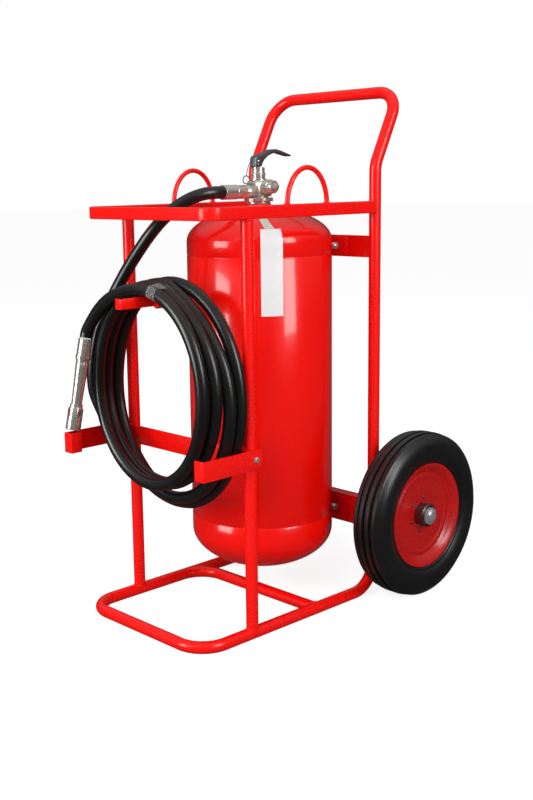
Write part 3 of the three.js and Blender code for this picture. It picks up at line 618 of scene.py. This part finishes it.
frameTube("baseFrontBend", [(-half, split, r), (-half, tubeFrame["front"], r),
    (half, tubeFrame["front"], r), (half, split, r)], tubeFrame["baseBend"], ["base_front_bend"])
frameTube("baseSideRight", [(half, split, r), (half, rear, r), (half, rear, tubeFrame["split"])],
    tubeFrame["baseBend"], ["base_side_right"])
frameTube("baseSideLeft", [(-half, split, r), (-half, tubeFrame["cross"], r),
    (half - r * 0.5, tubeFrame["cross"], r)], tubeFrame["baseBend"], ["base_side_left"])
frameTube("rearLegLeft", [(-half, tubeFrame["cross"] - 0.05, r), (-half, rear, r),
    (-half, rear, tubeFrame["split"])], tubeFrame["baseBend"], ["rear_leg_left"])
corners = [(half, rear, tubeFrame["split"] + 0.0003), (half, rear, tubeFrame["leanFrom"]),
    (half, tubeFrame["handleY"], tubeFrame["handleZ"])]
frameTube("handleLoop", corners + [(-x, y, z) for x, y, z in reversed(corners)], tubeFrame["handleBend"],
    ["handle_loop"])
for side, tag in ((1, "right"), (-1, "left")):
    ends = [at(side * half, tubeFrame["upright"], z) for z in (r, tubeFrame["ringUnder"])]
    tubePiece("frontUpright_" + tag, ends, r, nodes=["front_upright_" + tag])

# square ring with soft corners, and the two hoops on it
ring = {"size": 0.025, "corner": 0.003, "top": 0.8605, "front": -0.3035, "bend": 0.019, "hoopRod": 0.005,
    "hoopHalf": 0.057, "hoopRise": 0.071}


def squareTube(name, corners, bend, size, corner, nodes):
    path = bentPath(corners, bend, 10)
    rim = [Vector((a, b)) for sx, sy, first in ((1, 1, 0), (-1, 1, 90), (-1, -1, 180), (1, -1, 270))
           for a, b in arc(sx * (size / 2 - corner), sy * (size / 2 - corner), corner, first, first + 90, 4)]
    points, faces = [], []
    for k, here in enumerate(path):
        ahead = (path[min(k + 1, len(path) - 1)] - path[max(k - 1, 0)]).normalized()
        side = ahead.cross(Vector((0, 0, 1)))
        points += [here + side * p.x + Vector((0, 0, p.y)) for p in rim]
    n = len(rim)
    for k in range(len(path) - 1):
        faces += [(k * n + i, k * n + (i + 1) % n, (k + 1) * n + (i + 1) % n, (k + 1) * n + i)
            for i in range(n)]
    faces += [list(range(n))[::-1], [(len(path) - 1) * n + i for i in range(n)]]
    return makePiece(name, meshFrom(name, points, faces), "frame_paint", "trolley", nodes, angle=30)


mid = ring["top"] - ring["size"] / 2
squareTube("topRing", [at(half, rear - r * 0.7, mid), at(half, ring["front"], mid),
    at(-half, ring["front"], mid), at(-half, rear - r * 0.7, mid)], ring["bend"], ring["size"],
    ring["corner"], ["top_ring"])
hoopWelds = []
for side, tag, centre in ((1, "right", -0.043), (-1, "left", -0.024)):
    arch = []
    for k in range(41):
        t = math.pi * k / 40
        arch.append(at(side * half, centre - ring["hoopHalf"] * math.cos(t),
            ring["top"] - 0.001 + ring["hoopRise"] * math.sin(t)))
    tubePiece("liftHoop_" + tag, arch, ring["hoopRod"], nodes=["lift_hoop_" + tag], sides=24)
    for foot in (centre - ring["hoopHalf"], centre + ring["hoopHalf"]):
        spot = at(side * half, foot, ring["top"] + 0.0004)
        seam = [spot + Vector((0.0057 * math.cos(t), 0.0062 * math.sin(t), 0)) for t in around(24)]
        hoopWelds.append((seam, True))
weldPiece("hoopWelds", hoopWelds, bead=0.0013, spacing=0.0012, seed=4)


# where a tube stands on a lying tube of the same size, the seam is a saddle
def saddleSeam(x, y, under):
    path = []
    for t in around(36):
        a, b = 1.03 * r * math.cos(t), 1.03 * r * math.sin(t)
        path.append(at(x + a, y + b, under + math.sqrt(max(r * r - a * a * 0.94, 0))))
    return path, True


def circleSeam(centre, axis, radius, steps=36):
    u = Vector(axis).orthogonal().normalized()
    v = Vector(axis).normalized().cross(u)
    middle = Vector(centre)
    return [middle + u * radius * math.cos(t) + v * radius * math.sin(t) for t in around(steps)], True


seams = [saddleSeam(s * half, tubeFrame["upright"], r) for s in (1, -1)]
seams += [circleSeam(at(s * half, tubeFrame["upright"], tubeFrame["ringUnder"] - 0.0005), (0, 0, 1),
    r * 1.02) for s in (1, -1)]
seams += [circleSeam(at(s * half, rear, tubeFrame["split"]), (0, 0, 1), r) for s in (1, -1)]
seams += [([at(s * (half + t), rear + r + 0.0006, 0.1585 + k * 0.002) for k in range(34)], False)
    for s in (1, -1) for t in (0.005, -0.005)]
crossEnd = []
for t in around(36):
    off = r * math.sin(t)
    crossEnd.append(at(half - math.sqrt(max(r * r - off ** 2 * 0.94, 0)),
        tubeFrame["cross"] + r * 1.03 * math.cos(t), max(r + off, 0.0022)))
seams.append((crossEnd, True))
weldPiece("frameWelds", seams, bead=0.0018, spacing=0.0017, seed=2)
print("frame made")

# flat bars, plates and fixings keep their CAD shapes, with rounded edges
plain = {"hook_arm": 0.0012, "hook_stem": 0.0015, "cradle_crossbar": 0.001, "cradle_arm_right": 0.001,
    "cradle_arm_left": 0.001, "rear_cross_plate": 0.001, "rear_cross_channel": 0.001,
    "cylinder_lug_upper": 0.001, "cylinder_lug_lower": 0.001}
for node, edge in plain.items():
    fromCad(node, "frame_paint", edge=edge, steps=3)
for spot in ("upper_right", "upper_left", "lower_right", "lower_left"):
    fromCad("lug_bolt_" + spot, "zinc_plate", edge=0.0004)
for tag in ("right", "left"):
    fromCad("cradle_bolt_" + tag, "zinc_plate", edge=0.0003)
print("bars and plates made")

# pressure cylinder
cylinder = {"wall": 0.0032, "lowFrom": 0.1565, "lowDepth": 0.085, "highFrom": 0.782, "highRise": 0.069,
    "seams": (0.191, 0.7535), "lap": 0.0009, "neck": 0.027, "neckTop": 0.858, "bore": 0.020}


def cylinderProfile():
    c, outer = cylinder, cylinderRadius
    profile = [(outer * math.sin(t), c["lowFrom"] - c["lowDepth"] * math.cos(t))
        for t in (math.pi / 2 * k / 24 for k in range(25))]
    for z in c["seams"]:
        profile += [(outer, z - 0.0022), (outer - c["lap"], z - 0.0010), (outer - c["lap"] * 1.4, z),
            (outer - c["lap"], z + 0.0010), (outer, z + 0.0022)]
    last = math.asin((c["neck"] + 0.006) / outer)
    profile += [(outer * math.sin(t), c["highFrom"] + c["highRise"] * math.cos(t))
                for t in (math.pi / 2 + (last - math.pi / 2) * k / 24 for k in range(25))]
    foot = c["highFrom"] + c["highRise"] * math.cos(last)
    profile += [(c["neck"] + 0.003, foot + 0.0006), (c["neck"] + 0.0008, foot + 0.0026),
        (c["neck"], foot + 0.005), (c["neck"], c["neckTop"] - 0.001), (c["neck"] - 0.001, c["neckTop"]),
        (c["bore"], c["neckTop"]), (c["bore"], foot - 0.004)]
    inner = outer - c["wall"]
    profile += [(inner * math.sin(t), c["highFrom"] + (c["highRise"] - c["wall"]) * math.cos(t))
        for t in (0.2 + 1.37 * k / 10 for k in range(11))]
    profile += [(inner * math.sin(t), c["lowFrom"] - (c["lowDepth"] - c["wall"]) * math.cos(t))
        for t in (math.pi / 2 * (1 - k / 10) for k in range(11))]
    return profile


makePiece("cylinderShell", revolve("cylinderShell", cylinderProfile(), at(0, 0, 0), "z", 144),
    "cylinder_paint", "trolley", ["cylinder_shell"], angle=50)

# blank label that follows the wall, and a small tag above it
label = {"angle": 54.7, "width": 0.045, "bottom": 0.637, "top": 0.811, "lift": 0.0006}


def wallRadius(z):
    over = max(0.0, z - cylinder["highFrom"]) / cylinder["highRise"]
    return cylinderRadius * math.sqrt(max(0, 1 - over * over))


def stickOn(name, angle, width, bottom, top, slot, lift, lean=0.0, nodes=()):
    across, tall, points, faces = 14, 24, [], []
    for layer in (lift, lift - 0.0004):
        for j in range(tall + 1):
            z = bottom + (top - bottom) * j / tall
            radius = wallRadius(z) + layer
            for i in range(across + 1):
                t = math.radians(angle) + ((i / across - 0.5) * width + lean * (z - bottom)) / cylinderRadius
                points.append(at(radius * math.sin(t), -radius * math.cos(t), z))
    row, sheet = across + 1, (across + 1) * (tall + 1)
    for j in range(tall):
        for i in range(across):
            a = j * row + i
            faces.append((a, a + 1, a + row + 1, a + row))
            faces.append((sheet + a, sheet + a + row, sheet + a + row + 1, sheet + a + 1))
    edge = [j * row for j in range(tall + 1)] + [tall * row + i for i in range(1, row)]
    edge += [j * row + across for j in range(tall - 1, -1, -1)] + list(range(across - 1, 0, -1))
    faces += [(a, b, b + sheet, a + sheet) for a, b in zip(edge, edge[1:] + edge[:1])]
    return makePiece(name, meshFrom(name, points, faces), slot, "trolley", nodes)


stickOn("blankLabel", label["angle"], label["width"], label["bottom"], label["top"], "label_film",
    label["lift"], nodes=["label"])
tagSpot = {"angle": 54.0, "width": 0.022, "bottom": 0.8115, "top": 0.8325, "lean": -0.6}
smallTag = stickOn("smallTag", tagSpot["angle"], tagSpot["width"], tagSpot["bottom"], tagSpot["top"],
    "label_film", label["lift"], lean=tagSpot["lean"])
smallTag.data.materials[0] = finishes["tag_film"]
print("cylinder made")

# wheels
wheel = {"radius": 0.175, "rivets": 6, "rivetCircle": 0.036}


def tyreProfile():
    outer = wheel["radius"]
    side = [(0.1002, 0.0229), (0.1121, 0.0269), (0.1126, 0.0300), (0.1140, 0.0320), (0.1165, 0.0330),
        (0.1190, 0.0326), (0.1205, 0.0335), (0.1260, 0.0368), (0.1330, 0.0390), (0.1400, 0.0399),
        (0.1470, 0.0396), (0.1540, 0.0380), (0.1600, 0.0352), (0.1640, 0.0322)]
    tread, rib = [], [(-0.0225, 0.0052, 0.0030), (-0.0080, 0.0056, 0.0004), (0.0080, 0.0056, 0.0004),
        (0.0225, 0.0052, 0.0030)]
    for middle, halfRib, drop in rib:
        top = outer - drop
        tread += [(outer - 0.0072, middle - halfRib - 0.0014), (outer - 0.0062, middle - halfRib - 0.0004),
            (top - 0.0012, middle - halfRib + 0.0002), (top - 0.0002, middle - halfRib + 0.0014),
            (top, middle), (top - 0.0002, middle + halfRib - 0.0014),
            (top - 0.0012, middle + halfRib - 0.0002), (outer - 0.0062, middle + halfRib + 0.0004),
            (outer - 0.0072, middle + halfRib + 0.0014)]
    return [(a, -b) for a, b in side] + tread + list(reversed(side)) + [(0.1002, -0.0229)]


rimProfile = [(0.0246, 0.0150), (0.0750, 0.0150), (0.0775, 0.0154), (0.0800, 0.0172), (0.0825, 0.0183),
    (0.0850, 0.0180), (0.0872, 0.0164), (0.0892, 0.0157), (0.0912, 0.0166), (0.0960, 0.0222),
    (0.1000, 0.0256), (0.1060, 0.0292), (0.1090, 0.0306), (0.1110, 0.0307), (0.1118, 0.0293),
    (0.1112, 0.0276), (0.0997, 0.0234), (0.0997, -0.0234), (0.1115, -0.0274), (0.1116, -0.0298),
    (0.1095, -0.0306), (0.0968, -0.0255), (0.0968, 0.0190), (0.0895, 0.0128), (0.0855, 0.0150),
    (0.0805, 0.0145), (0.0775, 0.0122), (0.0246, 0.0120), (0.0246, 0.0150)]
hubProfile = [(0.0213, -0.0440), (0.0236, -0.0440), (0.0242, -0.0434), (0.0242, 0.0330), (0.0236, 0.0338),
    (0.0226, 0.0342), (0.0224, 0.0355), (0.0218, 0.0360), (0.0213, 0.0360), (0.0213, -0.0440)]
capProfile = [(0, 0.0350), (0.0185, 0.0350), (0.0187, 0.0385), (0.0182, 0.0398), (0.0168, 0.0404),
    (0.0150, 0.0405), (0.0144, 0.0412), (0.0134, 0.0432), (0.0112, 0.0450), (0.0080, 0.0461),
    (0.0040, 0.0466), (0, 0.0467)]
rivetProfile = [(0, 0.0145), (0.0036, 0.0145), (0.0036, 0.0153), (0.0031, 0.0166), (0.0020, 0.0174),
    (0, 0.0177)]

for side, tag in ((1, "right"), (-1, "left")):
    tyreLow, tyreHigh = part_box("tyre_" + tag)
    centre, body = (tyreLow + tyreHigh) / 2, "wheel_" + tag
    scale = (tyreHigh.z - tyreLow.z) / 2 / wheel["radius"]

    def turned(name, profile, slot, nodes=(), segments=128, place=centre, angle=34):
        mirrored = [(a * scale, side * b * scale) for a, b in profile]
        return makePiece(name + "_" + tag, revolve(name + "_" + tag, mirrored, place, "x", segments), slot,
            body, nodes, angle)

    turned("tyre", tyreProfile(), "tyre_rubber", ["tyre_" + tag], 168)
    turned("rimDisc", rimProfile, "rim_paint", ["rim_" + tag], 144, angle=50)
    turned("hubSleeve", hubProfile, "hub_steel", ["hub_" + tag], 72)
    turned("hubCap", capProfile, "zinc_plate", ["hub_cap_" + tag], 64)
    for k in range(wheel["rivets"]):
        t = 2 * math.pi * (k + 0.35) / wheel["rivets"]
        spot = centre + Vector((0, math.cos(t), math.sin(t))) * wheel["rivetCircle"] * scale
        turned("rivet%d" % k, rivetProfile, "hub_steel", (), 20, spot)
    for node in ("bearing_inner_", "bearing_outer_"):
        fromCad(node + tag, "zinc_plate", body, edge=0.0004)
    fromCad("stub_axle_" + tag, "hub_steel", edge=0.0005)
print("wheels made")


# valve: profiles turned about its axes, and outlines of (y, z) given a thickness across
def turnedValve(name, profile, node, slot="nickel_plate", place=(0, 0, 0), axis="z", segments=72,
        body="trolley", angle=28):
    nodes = [node] if node else ()
    return makePiece(name, revolve(name, profile, at(*place), axis, segments), slot, body, nodes, angle)


# outline in the plane along Y, given thickness across X
def plateShape(name, outline, thickness):
    n = len(outline)
    points = [at(s * thickness / 2, y, z) for s in (-1, 1) for y, z in outline]
    faces = [tuple(range(n)), tuple(range(2 * n - 1, n - 1, -1))]
    faces += [(k, n + k, n + (k + 1) % n, (k + 1) % n) for k in range(n)]
    return meshFrom(name, points, faces)


valve = {"outlet": 0.884, "pivot": (-0.009, 0.9405), "lock": (-0.009, 0.9469), "travel": 0.0023,
    "relief": (0, 0.002, 0.893), "ringRadius": 0.0082}
outletLine = {"place": (0, 0, valve["outlet"]), "axis": (0, -1, 0)}
turnedValve("collarNut", [(0.0209, 0.8634), (0.0298, 0.8634), (0.0305, 0.8641), (0.0305, 0.8703),
    (0.0298, 0.8710), (0.0209, 0.8710), (0.0209, 0.8634)], "collar_nut")
blockOutline = [(-0.0165, 0.8730), (0.0190, 0.8730), (0.0215, 0.8765), (0.0215, 0.9010), (0.0160, 0.9070),
    (-0.0130, 0.9070), (-0.0175, 0.9020), (-0.0175, 0.8765)]
block = roundEdges(plateShape("valveBlock", blockOutline, 0.040), 0.0055, 2, 60)
makePiece("valveBlock", block, "nickel_plate", "trolley", ["valve_body"], angle=24)
turnedValve("valveStem", [(0, 0.8585), (0.0252, 0.8585), (0.0252, 0.8628), (0.0205, 0.8634),
    (0.0205, 0.8735), (0.0220, 0.8745), (0.0220, 0.8760), (0, 0.8760)], None)
turnedValve("valveThread", [(0, 0.836)] + [(0.0195 - 0.0010 * (k % 2), 0.836 + 0.0011 * k)
    for k in range(21)] + [(0, 0.858)], None)
turnedValve("outletBoss", [(0.0075, 0.0100), (0.0118, 0.0100), (0.0118, 0.0296), (0.0110, 0.0308),
    (0.0075, 0.0310), (0.0075, 0.0100)], None, **outletLine)
turnedValve("reliefBoss", [(0, 0.010), (0.0155, 0.010), (0.0155, 0.0330), (0.0148, 0.0340),
    (0.0134, 0.0344), (0.0134, 0.0440), (0.0126, 0.0458), (0.0054, 0.0460), (0.0054, 0.0440), (0, 0.0440)],
    None, place=valve["relief"], axis="x")
turnedValve("glandBody", [(0, 0.9072), (0.0166, 0.9072), (0.0170, 0.9076), (0.0170, 0.9096),
    (0.0164, 0.9102), (0.0142, 0.9106), (0.0142, 0.9180), (0.0150, 0.9184), (0.0156, 0.9190),
    (0.0156, 0.9206), (0.0150, 0.9212), (0.0140, 0.9216), (0.0136, 0.9225), (0.0136, 0.9330),
    (0.0130, 0.9338), (0.0045, 0.9338), (0.0045, 0.9300), (0, 0.9300)], "gland")
tongue = plateShape("glandTongue", [(-0.0125, 0.9325), (-0.0050, 0.9325), (-0.0055, 0.9450),
    (-0.0068, 0.9475), (-0.0090, 0.9482), (-0.0108, 0.9475), (-0.0120, 0.9440)], 0.0110)
makePiece("glandTongue", roundEdges(tongue, 0.0005), "nickel_plate", "trolley")
hexProfile = [(0, 0.0465), (0.0072, 0.0465), (0.0075, 0.0470), (0.0075, 0.0524), (0.0068, 0.0530),
    (0, 0.0530)]
turnedValve("reliefHex", hexProfile, "relief_plug", "zinc_plate", valve["relief"], "x", 6, angle=20)
turnedValve("reliefStud", [(0, 0.0400), (0.0050, 0.0400), (0.0050, 0.0545), (0.0044, 0.0552), (0, 0.0554)],
    None, "zinc_plate", valve["relief"], "x", 24)
ridges = [(0.0141 - 0.0005 * (k % 2), 0.0330 + 0.0012 * k) for k in range(8)]
couplingProfile = [(0.0086, 0.0314), (0.0136, 0.0314), (0.0141, 0.0322)] + ridges
couplingProfile += [(0.0142, 0.0440), (0.0142, 0.0630), (0.0136, 0.0640), (0.0086, 0.0640), (0.0086, 0.0314)]
turnedValve("couplingNut", couplingProfile, "coupling_nut", **outletLine)
crimp = []
for k in range(8):
    start = 0.0700 + 0.0042 * k
    crimp += [(0.0146, start), (0.0151, start + 0.0005), (0.0152, start + 0.0026), (0.0146, start + 0.0032)]
turnedValve("hoseFerrule", [(0.0064, 0.0400), (0.0080, 0.0400), (0.0080, 0.0644), (0.0142, 0.0644),
    (0.0150, 0.0652), (0.0150, 0.0690)] + crimp + [(0.0152, 0.1045), (0.0146, 0.1050), (0.0064, 0.1050),
    (0.0064, 0.0400)], "hose_ferrule", **outletLine)
for node, slot, body in (("dip_tube", "brass", "trolley"), ("spindle", "brass", "spindle")):
    fromCad(node, slot, body, edge=0.0002)
springPiece = fromCad("spindle_spring", "zinc_plate", "trolley", edge=0.0002)
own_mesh(springPiece)

leverSide = [(-0.0160, 0.9340), (0.0034, 0.9362), (0.0050, 0.9420), (0.0110, 0.9495), (0.0200, 0.9560),
    (0.0300, 0.9605), (0.0420, 0.9638), (0.0520, 0.9636), (0.0660, 0.9610), (0.0800, 0.9578),
    (0.0905, 0.9562), (0.0925, 0.9580), (0.0880, 0.9604), (0.0750, 0.9642), (0.0600, 0.9687),
    (0.0460, 0.9715), (0.0360, 0.9711), (0.0240, 0.9682), (0.0100, 0.9632), (-0.0040, 0.9596),
    (-0.0120, 0.9570), (-0.0156, 0.9530)]
leverMesh = roundEdges(plateShape("lever", leverSide, 0.0175), 0.0022, 4, 25)
slotBox = (at(0, -0.0045, 0.941), Matrix.Identity(3), (0.0124, 0.0205, 0.0224))
leverMesh = carve(leverMesh, slotBox)
makePiece("leverArm", leverMesh, "cast_lever", "lever", ["lever"], angle=32)
turnedValve("leverPin", [(0, -0.0100), (0.0036, -0.0100), (0.0040, -0.0094), (0.0040, -0.0088),
    (0.0025, -0.0088), (0.0025, 0.0098), (0, 0.0104)], "lever_pin", "zinc_plate", (0, *valve["pivot"]), "x",
    28)
turnedValve("safetyPin", [(0, -0.0125), (0.0030, -0.0125), (0.0030, -0.0100), (0.0020, -0.0095),
    (0.0020, 0.0120), (0.0014, 0.0135), (0, 0.0138)], "safety_pin", "zinc_plate", (0, *valve["lock"]), "x",
    24, body="safety_pin")
drop = smoothLine([at(-0.0118, -0.009, 0.9469), at(-0.0150, -0.0100, 0.9440), at(-0.0180, -0.0125, 0.9330),
    at(-0.0195, -0.0150, 0.9220), at(-0.0200, -0.0160, 0.9165)], 6)
tubePiece("pinWire", drop, 0.0008, "hub_steel", "safety_pin", sides=10)
ringCentre, loop = at(-0.0200, -0.0160, 0.9085), []
for t in around(48) + [2 * math.pi]:
    way = Vector((0.55 * math.cos(t), 0.62 * math.cos(t), math.sin(t)))
    loop.append(ringCentre + way * valve["ringRadius"])
tubePiece("pinRing", loop, 0.0011, "hub_steel", "safety_pin", sides=12)
print("valve made")

# studio: white floor and backdrop for the camera, dark surround and soft boxes for reflections
studio = {"floor": 30.0, "diffuse": 0.4, "horizon": 0.035, "overhead": 0.55,
        "boxes": [("leftBox", (-0.85, -3.1, 1.15), (0, 0, 0.75), (1.35, 1.7), 55, True),
        ("rightBox", (3.1, 0.15, 1.85), (0, 0, 0.8), (1.1, 1.7), 44, True),
        ("frontFill", (1.0, -3.4, 2.4), (0, 0, 0.5), (2.4, 2.0), 84, False),
        ("topFill", (0.2, 0.2, 3.8), (0, 0, 0.5), (2.4, 2.4), 8, False),
        ("rightFill", (3.3, -0.3, 1.2), (0, 0, 0.5), (1.6, 1.6), 26, False)]}


def rayMix(tree, isRay, without, given):
    return addNode(tree, "ShaderNodeMixShader", {0: isRay, 1: without, 2: given}).outputs[0]


def makeFloor():
    mesh = bpy.data.meshes.new("floor")
    s = studio["floor"]
    mesh.from_pydata([(-s, -s, 0), (s, -s, 0), (s, s, 0), (-s, s, 0)], [], [(0, 1, 2, 3)])
    floor = addObject("floor", mesh)
    material = bpy.data.materials.new("paleFloor")
    tree = emptyTree(material)
    out = addNode(tree, "ShaderNodeOutputMaterial")
    ray = addNode(tree, "ShaderNodeLightPath")
    matte = addNode(tree, "ShaderNodeBsdfDiffuse", {"Color": (0.42, 0.42, 0.42, 1)})
    glow = addNode(tree, "ShaderNodeEmission", {"Color": (1, 1, 1, 1), "Strength": 0.8})
    bright = addNode(tree, "ShaderNodeAddShader", {0: matte.outputs[0], 1: glow.outputs[0]})
    dim = addNode(tree, "ShaderNodeEmission", {"Color": (1, 1, 1, 1), "Strength": 0.05})
    shown = rayMix(tree, ray.outputs["Is Camera Ray"], matte.outputs[0], bright.outputs[0])
    tree.links.new(rayMix(tree, ray.outputs["Is Glossy Ray"], shown, dim.outputs[0]), out.inputs["Surface"])
    mesh.materials.append(material)


def makeWorld():
    world = bpy.data.worlds.new("studioWorld")
    bpy.context.scene.world = world
    tree = emptyTree(world)
    out = addNode(tree, "ShaderNodeOutputWorld")
    ray = addNode(tree, "ShaderNodeLightPath")
    way = addNode(tree, "ShaderNodeTexCoord")
    split = addNode(tree, "ShaderNodeSeparateXYZ", {"Vector": way.outputs["Generated"]})
    rise = addNode(tree, "ShaderNodeMapRange", {"Value": split.outputs["Z"], "From Min": 0.15,
        "From Max": 0.9, "To Min": studio["horizon"], "To Max": studio["overhead"]})
    soft = addNode(tree, "ShaderNodeBackground", {"Color": (1, 1, 1, 1), "Strength": studio["diffuse"]})
    seen = addNode(tree, "ShaderNodeBackground", {"Color": (1, 1, 1, 1), "Strength": 1.0})
    mirrored = addNode(tree, "ShaderNodeBackground", {"Color": (1, 1, 1, 1), "Strength": rise.outputs[0]})
    lit = rayMix(tree, ray.outputs["Is Glossy Ray"], soft.outputs[0], mirrored.outputs[0])
    tree.links.new(rayMix(tree, ray.outputs["Is Camera Ray"], lit, seen.outputs[0]), out.inputs["Surface"])


def softbox(name, place, aim, size, power, mirrored):
    data = bpy.data.lights.new(name, "AREA")
    data.shape, data.size, data.size_y, data.energy = "RECTANGLE", size[0], size[1], power
    lamp = addObject(name, data)
    lamp.location = place
    lamp.rotation_euler = (Vector(aim) - Vector(place)).to_track_quat("-Z", "Y").to_euler()
    lamp.visible_glossy = mirrored


makeFloor()
makeWorld()
for box in studio["boxes"]:
    softbox(*box)
bpy.context.scene.view_settings.view_transform = "Standard"
print("studio made")
